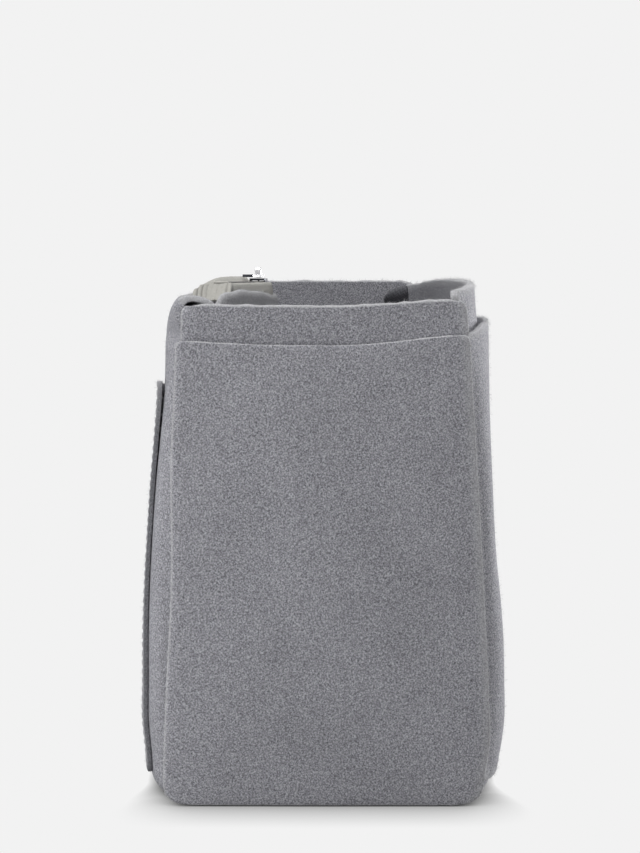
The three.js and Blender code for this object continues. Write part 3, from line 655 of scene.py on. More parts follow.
def worn(name, low, high, size, rough, relief, metal=0.0):
    """A hard finish whose colour, shine and surface vary a little, as making and use leave them."""
    material, tree = new_material(name)
    at = add(tree, "ShaderNodeTexCoord").outputs["Object"]
    specks = {"Vector": at, "Scale": per_mm(size), "Detail": 5, "Roughness": 0.6}
    grain = add(tree, "ShaderNodeTexNoise", specks).outputs["Fac"]
    colour = add(tree, "ShaderNodeMix", {0: grain, 6: linear(low), 7: linear(high)}, **RGBA).outputs[2]
    dull = {"Value": grain, 1: 0.3, 2: 0.7, 3: rough[0], 4: rough[1]}
    roughness = add(tree, "ShaderNodeMapRange", dull).outputs[0]
    bump = add(tree, "ShaderNodeBump", {"Height": grain, "Strength": 0.4, "Distance": relief * MM}).outputs[0]
    surface = {"Base Color": colour, "Metallic": metal, "Roughness": roughness, "Normal": bump}
    shader = add(tree, "ShaderNodeBsdfPrincipled", surface).outputs[0]
    add(tree, "ShaderNodeOutputMaterial", {"Surface": shader})
    return material


grey_felt = pressed_felt("pressed_grey_felt", "#57575c", "#8f8f95", "#cacad0", "#cfcfd0")
dark_felt = pressed_felt("pressed_dark_felt", "#434448", "#65666b", "#929296", "#a8a8ab")
# Woven polyester tape with a fine herringbone, drawn at about twice the real thread spacing to show.
tape_weave = woven("woven_zip_tape", "#cbcac4", "#9d9b95", across=1.0, along=0.9, rib=2.0, roughness=0.85)
# Ribbed polyester webbing, nearly black, with a dull shine on its ribs.
webbing = woven("ribbed_webbing", "#717176", "#36363b", across=1.4, along=1.1, rib=1.0, roughness=0.7)
# Moulded acetal teeth: dull grey-brown, slightly uneven.
resin = worn("moulded_resin", "#3b3a39", "#514f4d", size=1.5, rough=(0.4, 0.55), relief=0.05)
# Stamped metal under a lacquer that matches the tape: pale grey, with a soft satin shine.
lacquer = worn("lacquered_stamped_metal", "#a3a19b", "#b9b7b1", size=1.5, rough=(0.4, 0.55), relief=0.04)
# Bright nickel plating over die-cast zinc: smooth, with faint pitting.
nickel = worn("nickel_plating", "#b9b9bc", "#dededf", size=2.0, rough=(0.12, 0.3), relief=0.02, metal=1)
# Gunmetal plating: darker, with a soft gloss.
gunmetal = worn("gunmetal_plating", "#3f4044", "#5c5d62", size=1.2, rough=(0.25, 0.42), relief=0.02, metal=1)
# Navy-black painted reflection of dark surroundings, glossy, on the pull's upper face and tip.
dark_reflection = worn("baked_enamel", "#10141f", "#1b2130", size=1.5, rough=(0.22, 0.35), relief=0.02)
# Pressed fibre board: flat grey with fine chips.
board = worn("pressed_board", "#66676a", "#7c7d80", size=2.2, rough=(0.6, 0.8), relief=0.15)
# Spun polyester thread and loose fibres, a little paler than the felt.
thread = worn("spun_thread", "#8d8d91", "#b5b5b8", size=0.5, rough=(0.75, 0.9), relief=0.1)
fibre = worn("loose_felt_fibre", "#9a9a9d", "#d0d0d0", size=3.0, rough=(0.8, 0.95), relief=0.05)


# Meshes
def link(name, mesh):
    made = bpy.data.objects.new(name, mesh)
    bpy.context.scene.collection.objects.link(made)
    return made


def shade_smooth(mesh):
    mesh.polygons.foreach_set("use_smooth", [True] * len(mesh.polygons))


def mesh_piece(name, points, faces, material):
    mesh = bpy.data.meshes.new(name)
    mesh.from_pydata((np.asarray(points) * MM).tolist(), [], faces)
    shade_smooth(mesh)
    mesh.materials.append(material)
    mesh.update()
    return link(name, mesh)


def discard(piece):
    mesh = piece.data
    bpy.data.objects.remove(piece)
    bpy.data.meshes.remove(mesh)


def lofted(name, rings, material, closed=False):
    """A solid through rings of points: closed on itself, or capped at both ends."""
    count, sides, _ = rings.shape
    index = np.arange(count * sides).reshape(count, sides)
    after = np.roll(index, -1, axis=0)
    walls = np.stack([index, np.roll(index, -1, axis=1), np.roll(after, -1, axis=1), after], axis=-1)
    if closed:
        faces = walls.reshape(-1, 4).tolist()
    else:
        faces = walls[:-1].reshape(-1, 4).tolist() + [index[0, ::-1].tolist(), index[-1].tolist()]
    made = mesh_piece(name, rings.reshape(-1, 3), faces, material)
    shape = bmesh.new()
    shape.from_mesh(made.data)
    bmesh.ops.recalc_face_normals(shape, faces=shape.faces)
    shape.to_mesh(made.data)
    shape.free()
    return made


def stands_for(made, node, body):
    """The piece rides on a body in place of a solid, which it hides."""
    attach(made, body)
    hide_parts(node)


# Sheets of cloth
grids = {}  # rows and columns of each sheet's face


def grid_normals(face):
    return unit(np.cross(np.gradient(face, axis=0), np.gradient(face, axis=1)))


def perimeter(rows, columns):
    index = np.arange(rows * columns).reshape(rows, columns)
    return np.concatenate([index[0], index[1:, -1], index[-1, -2::-1], index[-2:0:-1, 0]])


def spread(value, shape):
    return np.broadcast_to(np.asarray(value, float), shape)


def flat_size(middle):
    """Width, length and area that a sheet was cut to, in metres, from its middle surface."""
    width = run_of(middle.swapaxes(0, 1))[-1].max() * MM
    length = run_of(middle)[-1].max() * MM
    crossed = np.cross(middle[1:, 1:] - middle[:-1, :-1], middle[1:, :-1] - middle[:-1, 1:])
    area = np.linalg.norm(crossed, axis=-1).sum() / 2 * MM * MM
    return float(width), float(length), float(min(area, width * length))


def band_map(made, face, loop):
    """A UV map in metres: across the band on u and along it on v."""
    flat = stack(run_of(face.swapaxes(0, 1)).T, run_of(face)).reshape(-1, 2) * MM
    spot = np.concatenate([flat, flat, *[flat[loop]] * RIM_STEPS])
    corners = np.zeros(len(made.data.loops), int)
    made.data.loops.foreach_get("vertex_index", corners)
    made.data.uv_layers.new(name="band").data.foreach_set("uv", spot[corners].ravel())


def rim_rings(middle, facing, half, rounding, out, seed):
    """Rings of points that round off a sheet's ragged cut edge, from its face to its back."""
    tangent = unit(np.roll(middle, -1, axis=0) - np.roll(middle, 1, axis=0))
    side = unit(np.cross(facing, tangent)) * out
    ragged = 1 + sum(share * waves(middle, length, seed + step) for share, length, step in RIM_WAVES)[:, None]
    rings = []
    for turn in np.linspace(0, math.pi, RIM_STEPS + 2)[1:-1]:
        level = np.sign(math.cos(turn)) * abs(math.cos(turn)) ** RIM_POWER
        reach = math.sin(turn) ** RIM_POWER
        rings.append(middle + facing * half * level + side * half * rounding * reach * ragged)
    return rings


def sheet_faces(shape, loop, out):
    """The quads of a sheet's face and back, and those of its rim between them."""
    count = shape[0] * shape[1]
    index = np.arange(count).reshape(shape)
    quads = np.stack([index[:-1, :-1], index[1:, :-1], index[1:, 1:], index[:-1, 1:]], axis=-1).reshape(-1, 4)
    rim = 2 * count + np.arange(RIM_STEPS * len(loop)).reshape(RIM_STEPS, -1)
    rings = [loop, *rim, loop + count]
    strips = []
    for above, below in zip(rings[:-1], rings[1:]):
        strips.append(np.stack([above, np.roll(above, -1), np.roll(below, -1), below], axis=-1))
    return np.concatenate([quads, quads[:, ::-1] + count, *strips])[:, ::out].tolist()


def sheet_mesh(
    name, face, thickness, out, material,
    rounding=0.5, ripple=0.0, ripple_length=35, seed=1,
    square=0, pale=0.0, rim_pale=1.0, crease=0.0, uv=False,
):
    """A closed sheet of cloth under one face given as a grid. out is 1 if rows cross columns point out of it.

    pale is how much of the cut edge's look the face has, and also paints light on, and rim_pale how much the
    rim has. The argument after rim_pale paints shade onto the face where it lies in a seam or fold.
    """
    shape = face.shape[:2]
    normal = grid_normals(face) * out
    if square:
        normal[..., 1] *= fade_in(np.abs(face[..., 1]), WALL_END, WALL_END - square)
        normal = unit(normal)
    face = face + normal * (ripple * waves(face, ripple_length, seed))[..., None]
    thick = spread(thickness, shape)[..., None]
    back = face - normal * thick
    middle = (face + back) / 2
    loop = perimeter(*shape)
    rim = [field.reshape(-1, field.shape[-1])[loop] for field in (middle, normal, thick / 2)]
    rings = rim_rings(*rim, rounding, out, seed)
    points = np.concatenate([face.reshape(-1, 3), back.reshape(-1, 3), *rings])
    made = mesh_piece(name, points, sheet_faces(shape, loop, out), material)
    rim_cut = spread(rim_pale, shape).ravel()[loop]
    face_pale = np.array(spread(pale, shape)).ravel()
    back_cut = np.zeros_like(face_pale)
    face_pale[loop] = np.maximum(face_pale[loop], RIM_BLEND * rim_cut)
    back_cut[loop] = RIM_BLEND * rim_cut
    # Painted shade for seams and folds, on the face, back and rim.
    shade_amount = spread(crease, shape).ravel()
    looks = {
        "cut_edge": [face_pale, back_cut, np.tile(rim_cut, RIM_STEPS)],
        "crease": [shade_amount, shade_amount, np.tile(shade_amount[loop], RIM_STEPS)],
    }
    for key, values in looks.items():
        made.data.attributes.new(key, "FLOAT", "POINT").data.foreach_set("value", np.concatenate(values))
    if uv:
        band_map(made, face, loop)
    grids[name] = shape
    flat_size(middle)
    return made


# Felt pieces. The layers on a wall share one ripple, so that they stay apart.
WALL_RIPPLE = {"ripple": 0.12, "ripple_length": 45, "seed": 11}
felts = {}


def felt(node, face, thickness, out, held="stretched", on=("felt_body_wrap",), trim=(), **look):
    """A felt piece that stands for a solid of the frame."""
    made = sheet_mesh(f"felt_{node}", settled(face), thickness, out, grey_felt, **look)
    stands_for(made, node, "organizer")
    felts[made.name] = made


def body_wrap():
    """Left wall, floor and right wall in one piece, from the left wall's lip to the right wall's top edge."""
    y = span(-WALL_END, WALL_END, FELT_PITCH)
    lip = lip_share(y)
    curl_start = LEFT_HEIGHT - CURL_HEIGHT
    strip_height = CURL_HEIGHT - FAR_DIP * fade_in(y, *FAR_DIP_ALONG)
    fold = {side: wall_half(side, y, np.full_like(y, FOLD_RADIUS)) - FOLD_RADIUS for side in (-1, 1)}
    turns = np.linspace(0, QUARTER, FOLD_ROWS)

    def fold_row(side, turn):
        out = fold[side] + FOLD_RADIUS * math.cos(turn)
        return stack(side * out, y, FOLD_RADIUS * (1 - math.sin(turn)))

    rows = []
    for share in np.linspace(1, 0, STRIP_ROWS):
        plain = on_wall(-1, y, curl_start + strip_height * math.sin(QUARTER * share), 0)
        spot = through(LIP_CURVE, share)
        rows.append(mix(plain, stack(spot[0], y, spot[1]), lip[:, None]))
    for z in span(curl_start, FOLD_RADIUS, FELT_PITCH)[1:]:
        rows.append(on_wall(-1, y, np.full_like(y, z), 0))
    rows += [fold_row(-1, turn) for turn in turns[1:]]
    rows += [stack(mix(-fold[-1], fold[1], share), y, 0) for share in np.linspace(0, 1, FLOOR_ROWS)[1:-1]]
    rows += [fold_row(1, turn) for turn in turns[::-1]]
    right_top = level_on(RIGHT_EDGE, y) - WALL_RIM
    for rise in np.linspace(0, 1, RIGHT_ROWS)[1:]:
        rows.append(on_wall(1, y, mix(FOLD_RADIUS, right_top, rise), 0))
    face = np.stack(rows)
    row = np.arange(len(rows))[:, None]
    thinned = (WALL_FELT - LIP_FELT) * fade_in(row, *LIP_THIN_ROWS)
    crowded = LIP_BULGE * np.exp(-(((row - LIP_BEND_ROW) / LIP_BEND_SPREAD) ** 2))
    thickness = WALL_FELT + (crowded - thinned) * lip
    # The left wall's ends are turned into the seams, so their rims aren't pale below the lip.
    rim_pale = np.ones(face.shape[:2])
    rim_pale[LIP_ROWS : len(rows) // 2] = SEAM_PALE
    # Painted shade along the walls' ends, where they meet the end panels.
    seam_shade_mask = fade_in(np.abs(face[..., 1]), WALL_END - SEAM_SHADE_WIDTH, WALL_END)
    left = mix(SEAM_SHADE_HIGH, SEAM_SHADE_LOW, fade_in(face[..., 2], *SEAM_SHADE_LOW_UP))
    crease = seam_shade_mask * np.where(face[..., 0] < 0, left, SEAM_SHADE_RIGHT) * fade_in(face[..., 2], *SEAM_SHADE_UP)
    look = {"square": END_SQUARE, "rim_pale": rim_pale, "crease": crease, **WALL_RIPPLE}
    felt("body_wrap", face, thickness, -1, held="folded", on=(), **look)


def end_sheet(node, end, on, y, thickness, height, top_radius, seed, swell=0, trim=0, sag=0, lift=0, tuck=0):
    """A panel or pocket across one end. Its sides roll down to the seams, and its top edge sags or tilts."""
    shares = np.sin(np.linspace(-QUARTER, QUARTER, END_COLUMNS))
    foot = END_CLEAR + END_FOOT_RADIUS * (1 - np.cos(np.linspace(0, QUARTER, FOOT_ROWS)))
    head = height - top_radius * (1 - np.sin(np.linspace(0, QUARTER, HEAD_ROWS)))
    sides = span(END_CLEAR + END_FOOT_RADIUS, height - top_radius, FELT_PITCH)[1:-1]
    z, share = grid(np.concatenate([foot, sides, head]), shares)
    foot_draw = corner_draw(END_FOOT_RADIUS, END_FOOT_RADIUS + END_CLEAR - z)
    head_draw = corner_draw(top_radius, z - height + top_radius)
    half = end_half(z) - foot_draw - head_draw - END_RIM
    left = (level_on(END_LEFT_FILL, z) - tuck) * ease(-share)
    right = level_on(END_RIGHT_FILL, z) * ease(share)
    from_side = (1 - np.abs(share)) * half
    edge = np.minimum(from_side, z + EDGE_FOOT)
    rolled = corner_draw(EDGE_ROLL, EDGE_ROLL - edge) / EDGE_ROLL
    roll_down = mix(EDGE_DROP, EDGE_DROP_RIGHT, ease(share)) * rolled
    bulge = swell * (1 - share**2) * np.sin(math.pi * np.clip(z / height, 0, 1)) ** 0.5
    high = (z / height) ** 4
    level = z + (lift * fade_in(share, *END_LIFT_ACROSS) - trim - sag * (1 - share**2)) * high
    face = stack(share * half - left + right, end * (y + bulge - roll_down), level)
    rim = EDGE_PALE_SHARE * fade_in(from_side, EDGE_PALE, 0)
    # Painted light: a faintly paler band along the right side, where the edge turns to the light.
    painted_light = np.where(share > 0, EDGE_LIGHT_SHARE * fade_in(from_side, EDGE_LIGHT_WIDTH, 0), 0)
    look = {"ripple": 0.12, "ripple_length": 40, "seed": seed, "pale": np.maximum(rim, painted_light)}
    felt(node, face, thickness - roll_down, end, on=on, **look)


def wall_pocket(node, side, half, foot, top_edge, thickness, gap, gape, lip=0, trim=()):
    """A pocket over a long wall. Its mouth stands off by gape at the middle and by lip at both ends."""
    rise, y = grid(np.linspace(0, 1, POCKET_ROWS), span(-half, half, FELT_PITCH))
    z = mix(foot, top_edge(y), rise)
    middle = 1 - (y / half) ** 2
    away = gap + gape * middle**2 * rise**2 + lip * (1 - middle) ** 2 * rise**6
    face = on_wall(side, y, z, away + thickness)
    felt(node, face, thickness, -side, trim=trim, square=END_SQUARE, **WALL_RIPPLE)


def right_pocket_edge(y):
    near = fade_in(y, -WALL_END, RIGHT_LIFT_RUN - WALL_END) * fade_in(y, *RIGHT_LIFT_ALONG)
    return RIGHT_POCKET_TOP - RIGHT_POCKET_SAG * (1 - (y / WALL_END) ** 2) + RIGHT_POCKET_LIFT * near


def left_pocket_edge(y):
    return LEFT_POCKET_TOP - LEFT_POCKET_SAG * (1 - (y / LEFT_POCKET_HALF) ** 2)


def binding_line(past):
    """A line round the near, lower and far edges of the left pocket, this far outside them."""
    end = LEFT_POCKET_HALF + past
    low = LEFT_POCKET_FOOT - past
    climb = np.linspace(LEFT_POCKET_TOP, low, BINDING_UP_STEPS)
    along = np.linspace(-end, end, BINDING_ALONG_STEPS)[1:-1]
    return np.concatenate([stack(-end, climb), stack(along, low), stack(end, climb[::-1])])


def left_pocket_binding():
    """The dark strip along the near, lower and far edges of the left pocket."""
    lines = [binding_line(SEAM_GAP + BINDING_WIDTH * share) for share in BINDING_LINES]
    y, z = np.moveaxis(np.stack(lines), -1, 0)
    rise = np.clip((z - LEFT_POCKET_FOOT) / (LEFT_POCKET_TOP - LEFT_POCKET_FOOT), 0, 1)
    end_share = np.clip(np.abs(y) / LEFT_POCKET_HALF, 0, 1)
    away = LEFT_POCKET_GAP + LEFT_POCKET_LIP * end_share**4 * rise**6
    face = on_wall(-1, y, z, away + LEFT_POCKET_FELT)
    paler_top = fade_in(z, LEFT_POCKET_TOP - BINDING_PALE_TOP, LEFT_POCKET_TOP)
    look = {"rounding": 0.3, "pale": paler_top, "rim_pale": mix(BINDING_PALE, 1, paler_top), **WALL_RIPPLE}
    made = sheet_mesh("felt_left_pocket_binding", settled(face), LEFT_POCKET_FELT, -1, dark_felt, **look)
    stands_for(made, "left_pocket_binding", "organizer")
    felts[made.name] = made
    return made


def inner_pocket():
    half = HALF_LENGTH - INNER_POCKET_MARGIN
    z, y = grid(span(INNER_POCKET_FOOT, INNER_POCKET_TOP, FELT_PITCH), span(-half, half, FELT_PITCH))
    belly = np.sin(QUARTER * INNER_POCKET_BELLIES * (y + half) / half) ** 2
    rise = np.sin(QUARTER * (z - INNER_POCKET_FOOT) / (INNER_POCKET_TOP - INNER_POCKET_FOOT))
    gap = LAYER_GAP + INNER_POCKET_GAPE * belly * rise
    face = on_wall(1, y, z, -(WALL_FELT + gap + POCKET_FELT))
    felt("inner_pocket", face, POCKET_FELT, 1, ripple=0.1, seed=37)


def floor_lining():
    top = WALL_FELT + SEAM_GAP + BOARD_THICKNESS + SEAM_GAP + POCKET_FELT
    end = WALL_END - BOARD_MARGIN
    y, share = grid(span(-end, end, FELT_PITCH), np.linspace(0, 1, LINING_COLUMNS))
    level = np.full_like(y, FLOOR_RADIUS)
    reach = {side: wall_half(side, y, level) - FLOOR_RADIUS + LINING_LAP for side in (-1, 1)}
    face = stack(mix(-reach[-1], reach[1], share), y, top)
    felt("floor_lining", face, POCKET_FELT, -1, held="laid", on=["base_stiffener"], seed=41)


def front_turn(end):
    """x and y from the left wall round one corner of the zipped pocket, and the direction it looks there."""
    corner = []
    for turn in np.linspace(0, QUARTER, FRONT_CORNER_STEPS):
        y = end * (FRONT_END - FRONT_CORNER * (1 - math.cos(turn)))
        x = zip_x(y) + FRONT_OFFSET - FRONT_CORNER * (1 - math.sin(turn))
        corner.append((x, y, math.sin(turn), end * math.cos(turn)))
    leg = [(mix(-TOP_WIDTH / 2, corner[0][0], share), end * FRONT_END, 0, end) for share in (0, 1 / 3, 2 / 3)]
    return leg + corner


def zip_pocket_front():
    middle = span(FRONT_CORNER - FRONT_END, FRONT_END - FRONT_CORNER, FELT_PITCH)[1:-1]
    straight = [(zip_x(y) + FRONT_OFFSET, y, 1, 0) for y in middle]
    path = np.array(front_turn(-1) + straight + front_turn(1)[::-1], float)
    rim = mix(FRONT_ROLL_START, 1, np.sin(np.linspace(0, QUARTER, FRONT_RIM_ROWS)))
    shares = np.concatenate([np.linspace(0, FRONT_ROLL_START, FRONT_ROWS)[:-1], rim])
    share, station = grid(shares, np.arange(len(path)))
    x, y, out_x, out_y = np.moveaxis(path[station], -1, 0)
    near_drop = FRONT_NEAR_DROP * fade_in(out_x, *FRONT_TURN_ACROSS) * (y < 0)
    tilt = FRONT_NEAR_LIFT * fade_in(y, *FRONT_LIFT_ALONG) - FRONT_FAR_DROP * fade_in(y, *FRONT_DROP_ALONG)
    z = mix(FRONT_FOOT, front_top(y) - near_drop + tilt, share) - FRONT_RIM
    past = (share - FRONT_ROLL_START) / (1 - FRONT_ROLL_START)
    depth = POCKET_FELT - FRONT_ROLL * corner_draw(1, past)
    inner_x = front_x(y + POCKET_FELT * out_y, share, x)
    face = stack(inner_x + depth * out_x, y + depth * out_y, z)
    # Painted light on the upper part, which lies in shade.
    painted_light = FRONT_PAINTED_LIGHT * fade_in(share, *FRONT_PAINTED_LIGHT_UP)
    pale = np.maximum(painted_light, FRONT_RIM_PALE * fade_in(past, *FRONT_RIM_UP))
    felt("zip_pocket_front", face, depth, -1, ripple=0.1, seed=43, pale=pale)


body_wrap()
on_wrap = ["felt_body_wrap"]
panel = {"y": END_FACE, "thickness": WALL_FELT, "height": END_HEIGHT, "top_radius": END_HEAD_RADIUS}
end_sheet("end_panel_near", -1, on_wrap, seed=50, trim=0.35, sag=0.6, lift=1.6, tuck=1.5, **panel)
end_sheet("end_panel_far", 1, on_wrap, seed=52, **panel)
pocket = {"y": HALF_LENGTH, "thickness": POCKET_FELT, "height": END_POCKET_HEIGHT, "top_radius": POCKET_FELT}
pocket = {**pocket, "swell": END_POCKET_SWELL, "trim": 0.2}
end_sheet("end_pocket_near", -1, ["felt_end_panel_near"], seed=60, sag=1.5, lift=2.0, **pocket)
end_sheet("end_pocket_far", 1, ["felt_end_panel_far"], seed=62, sag=2.5, **pocket)
wall_pocket(
    "right_pocket", 1, half=WALL_END, foot=RIGHT_POCKET_FOOT, top_edge=right_pocket_edge,
    thickness=POCKET_FELT, gap=LAYER_GAP, gape=RIGHT_POCKET_GAPE,
)
wall_pocket(
    "left_pocket", -1, half=LEFT_POCKET_HALF, foot=LEFT_POCKET_FOOT, top_edge=left_pocket_edge,
    thickness=LEFT_POCKET_FELT, gap=LEFT_POCKET_GAP, gape=LEFT_POCKET_GAPE, lip=LEFT_POCKET_LIP,
    trim=[left_pocket_binding()],
)
inner_pocket()
floor_lining()
zip_pocket_front()


# Zip tapes
def left_crossing(y):
    """x and z across the left tape: sewn inside the wall, over the swelling and down to the teeth."""
    depth = WALL_FELT + LAYER_GAP + TAPE_THICKNESS / 2
    level = zip_z(y) - tape_dip(y)
    top = LEFT_HEIGHT - tape_dip(y)
    sewn = on_wall(-1, y, top - TAPE_SEW, -depth)
    rim = on_wall(-1, y, top - TAPE_RIM, -depth)
    flat = zip_x(y) - TAPE_FLAT
    ridge = (flat - TAPE_RIDGE_SIDE, level + float(level_on(TAPE_RIDGE, y)))
    inward = LIP_DRAW * lip_share(y)
    return [
        (sewn[0] + inward, sewn[2]),
        (rim[0] + LIP_DRAW_RIM * inward, rim[2]),
        (mix(rim[0], ridge[0], TAPE_SLOPE[0]), mix(rim[2], ridge[1], TAPE_SLOPE[1])),
        ridge,
        (flat, level + TAPE_FLAT_RISE),
        (zip_x(y) - tape_edge(y), level),
    ]


def right_crossing(y):
    """x and z across the right tape: from the teeth down inside the pocket's front."""
    level = zip_z(y) - tape_dip(y)
    inset = LAYER_GAP + TAPE_THICKNESS / 2
    sewn = [(front_inside(y, z) - inset, z) for z in (level - FRONT_DROP, level - TAPE_HANG)]
    return [(zip_x(y) + tape_edge(y), level), (zip_x(y) + TAPE_FLAT, level), *sewn]


def zip_tape(side_name, crossing, seed):
    """One tape along the zip, with its crossing at each place, and gathered in its near tail."""
    tail = span(TAIL_START - TAPE_NEAR_TAIL, zip_near[1], TAIL_PITCH)
    rest = span(zip_near[1], zip_far[1] + TAPE_FAR_TAIL, TAPE_PITCH)[1:]
    shares = np.linspace(0, 1, TAPE_COLUMNS)
    rows = []
    for y in np.concatenate([tail, rest]):
        line = through(crossing(y), shares)
        rows.append(stack(line[:, 0], y, line[:, 1]))
    face = settled(np.stack(rows))
    # Pleats where the tail is gathered at the near corner.
    gathered = fade_in(shares, *PLEAT_LEFT_ACROSS) * fade_in(shares, *PLEAT_RIGHT_ACROSS)
    gathered = gathered * fade_in(tail_share(face[..., 1]), *PLEAT_ALONG)
    wave = np.sin(face[..., 0] * FULL_TURN / PLEAT_PITCH)
    face = face - grid_normals(face) * (PLEAT_DEPTH * wave * gathered + TAPE_THICKNESS / 2)[..., None]
    # Shade is painted into the valleys of the pleats.
    look = {"ripple": 0.08, "ripple_length": 14, "seed": seed, "crease": gathered * ease(-wave)}
    name = f"tape_{side_name}"
    made = sheet_mesh(name, face, TAPE_THICKNESS, -1, tape_weave, rounding=0.8, uv=True, **look)
    stands_for(made, f"zip_tape_{side_name}", "organizer")


zip_tape("left", left_crossing, seed=81)
zip_tape("right", right_crossing, seed=83)


# Pieces grown by Geometry Nodes
def new_tree(name, sizes):
    """A tree with a geometry input, named number inputs and a material."""
    tree = bpy.data.node_groups.new(name, "GeometryNodeTree")
    tree.interface.new_socket("Geometry", in_out="INPUT", socket_type="NodeSocketGeometry")
    for label in sizes:
        tree.interface.new_socket(label, in_out="INPUT", socket_type="NodeSocketFloat")
    tree.interface.new_socket("Material", in_out="INPUT", socket_type="NodeSocketMaterial")
    tree.interface.new_socket("Geometry", in_out="OUTPUT", socket_type="NodeSocketGeometry")
    return tree, add(tree, "NodeGroupInput").outputs


def close_tree(tree, instances, material):
    real = add(tree, "GeometryNodeRealizeInstances", {0: instances}).outputs[0]
    painted = add(tree, "GeometryNodeSetMaterial", {"Geometry": real, "Material": material}).outputs[0]
    add(tree, "NodeGroupOutput", {0: painted})
    return tree


def grown(name, base, tree, values):
    """Runs a tree on an object and keeps the result as a plain mesh on the organizer."""
    modifier = base.modifiers.new(name, "NODES")
    modifier.node_group = tree
    for item in tree.interface.items_tree:
        if item.in_out == "INPUT" and item.name in values:
            modifier[item.identifier] = values[item.name]
    graph = bpy.context.evaluated_depsgraph_get()
    mesh = bpy.data.meshes.new_from_object(base.evaluated_get(graph), depsgraph=graph)
    base.modifiers.remove(modifier)
    made = link(name, mesh)
    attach(made, "organizer")
    return made


def fuzz_tree():
    """Loose fibres over felt: more of them on cut edges, lying at random angles."""
    labels = ["Face Density", "Edge Density", "Length", "Width", "Floor Clearance", "Seed"]
    tree, given = new_tree("loose_fibres", labels)
    pale_amount = add(tree, "GeometryNodeInputNamedAttribute", {"Name": "cut_edge"}, data_type="FLOAT")
    by_paleness = {0: pale_amount.outputs["Attribute"], 2: given["Face Density"], 3: given["Edge Density"]}
    density = add(tree, "ShaderNodeMix", by_paleness, data_type="FLOAT").outputs[0]
    # The place of a point on the felt first, and of a point on the strip after that.
    place = add(tree, "ShaderNodeSeparateXYZ", {0: add(tree, "GeometryNodeInputPosition").outputs[0]}).outputs
    above = {"A": place[2], "B": given["Floor Clearance"]}
    clear = add(tree, "FunctionNodeCompare", above, data_type="FLOAT", operation="GREATER_THAN").outputs[0]
    scatter = {"Mesh": given["Geometry"], "Selection": clear, "Density": density, "Seed": given["Seed"]}
    points = add(tree, "GeometryNodeDistributePointsOnFaces", scatter).outputs
    flat = {"Size X": given["Width"], "Size Y": given["Length"], "Vertices X": 2, "Vertices Y": 3}
    strip = add(tree, "GeometryNodeMeshGrid", flat).outputs[0]
    half = add(tree, "ShaderNodeMath", {0: given["Length"], 1: 0.5}, operation="MULTIPLY").outputs[0]
    shift = add(tree, "ShaderNodeCombineXYZ", {1: half}).outputs[0]
    rooted = add(tree, "GeometryNodeTransform", {"Geometry": strip, "Translation": shift}).outputs[0]
    square = add(tree, "ShaderNodeMath", {0: place[1], 1: place[1]}, operation="MULTIPLY").outputs[0]
    droop = add(tree, "ShaderNodeMath", {0: square, 1: -FIBRE_DROOP}, operation="MULTIPLY").outputs[0]
    lift = add(tree, "ShaderNodeCombineXYZ", {2: droop}).outputs[0]
    bent = add(tree, "GeometryNodeSetPosition", {"Geometry": rooted, "Offset": lift}).outputs[0]
    angles = {0: FIBRE_LEAN_LEAST, 1: FIBRE_LEAN_MOST, "Seed": given["Seed"]}
    lean = add(tree, "FunctionNodeRandomValue", angles, data_type="FLOAT_VECTOR").outputs[0]
    turn = add(tree, "FunctionNodeEulerToRotation", {0: lean}).outputs[0]
    leaning = {0: points["Rotation"], 1: turn}
    rotation = add(tree, "FunctionNodeRotateRotation", leaning, rotation_space="LOCAL").outputs[0]
    sizes = {2: FIBRE_SIZES[0], 3: FIBRE_SIZES[1], "Seed": given["Seed"]}
    size = add(tree, "FunctionNodeRandomValue", sizes, data_type="FLOAT").outputs[1]
    copies = {"Points": points["Points"], "Instance": bent, "Rotation": rotation, "Scale": size}
    fibres = add(tree, "GeometryNodeInstanceOnPoints", copies).outputs[0]
    return close_tree(tree, fibres, given["Material"])


loose_fibres = fuzz_tree()
fibre_look = {
    "Edge Density": EDGE_FIBRES / MM**2,
    "Length": FIBRE_LENGTH * MM,
    "Width": FIBRE_WIDTH * MM,
    "Floor Clearance": FIBRE_CLEAR * MM,
    "Material": fibre,
}
for number, (felt_name, source) in enumerate(felts.items()):
    face_density = FACE_FIBRES / MM**2 * (WRAP_FIBRES if "wrap" in felt_name else 1.0)
    fibre_values = {**fibre_look, "Face Density": face_density, "Seed": FIBRE_SEED + number}
    grown(felt_name.replace("felt_", "fibres_"), source, loose_fibres, fibre_values)


# Zip hardware
def zip_matrix():
    """The zip's own axes, with the origin at the teeth's far end."""
    axes = Matrix([list(axis) for axis in (zip_across, zip_along, zip_up)]).transposed().to_4x4()
    return Matrix.Translation(zip_far * MM) @ axes


def tooth():
    """One moulded tooth of the right-hand row: head, neck and the bead that grips the tape."""
    flat = TOOTH_BEVEL
    ring = [(1, flat), (flat, 1), (-flat, 1), (-1, flat), (-1, -flat), (-flat, -1), (flat, -1), (1, -flat)]
    rings = [[(x, y * a, z * b) for a, b in ring] for x, y, z in TOOTH_STATIONS]
    return lofted("tooth", np.array(rings), resin)


def row_tree(pattern):
    """A straight row of copies of one shape, one pitch apart."""
    tree, given = new_tree("row_of_teeth", ["Pitch", "Count", "Start"])
    back = add(tree, "ShaderNodeMath", {0: given["Pitch"], 1: -1.0}, operation="MULTIPLY").outputs[0]
    step = add(tree, "ShaderNodeCombineXYZ", {1: back}).outputs[0]
    start = add(tree, "ShaderNodeCombineXYZ", {1: given["Start"]}).outputs[0]
    line = {"Count": given["Count"], "Start Location": start, "Offset": step}
    places = add(tree, "GeometryNodeMeshLine", line, mode="OFFSET").outputs[0]
    shape = add(tree, "GeometryNodeObjectInfo", {"Object": pattern}).outputs["Geometry"]
    copies = add(tree, "GeometryNodeInstanceOnPoints", {"Points": places, "Instance": shape}).outputs[0]
    return close_tree(tree, copies, given["Material"])


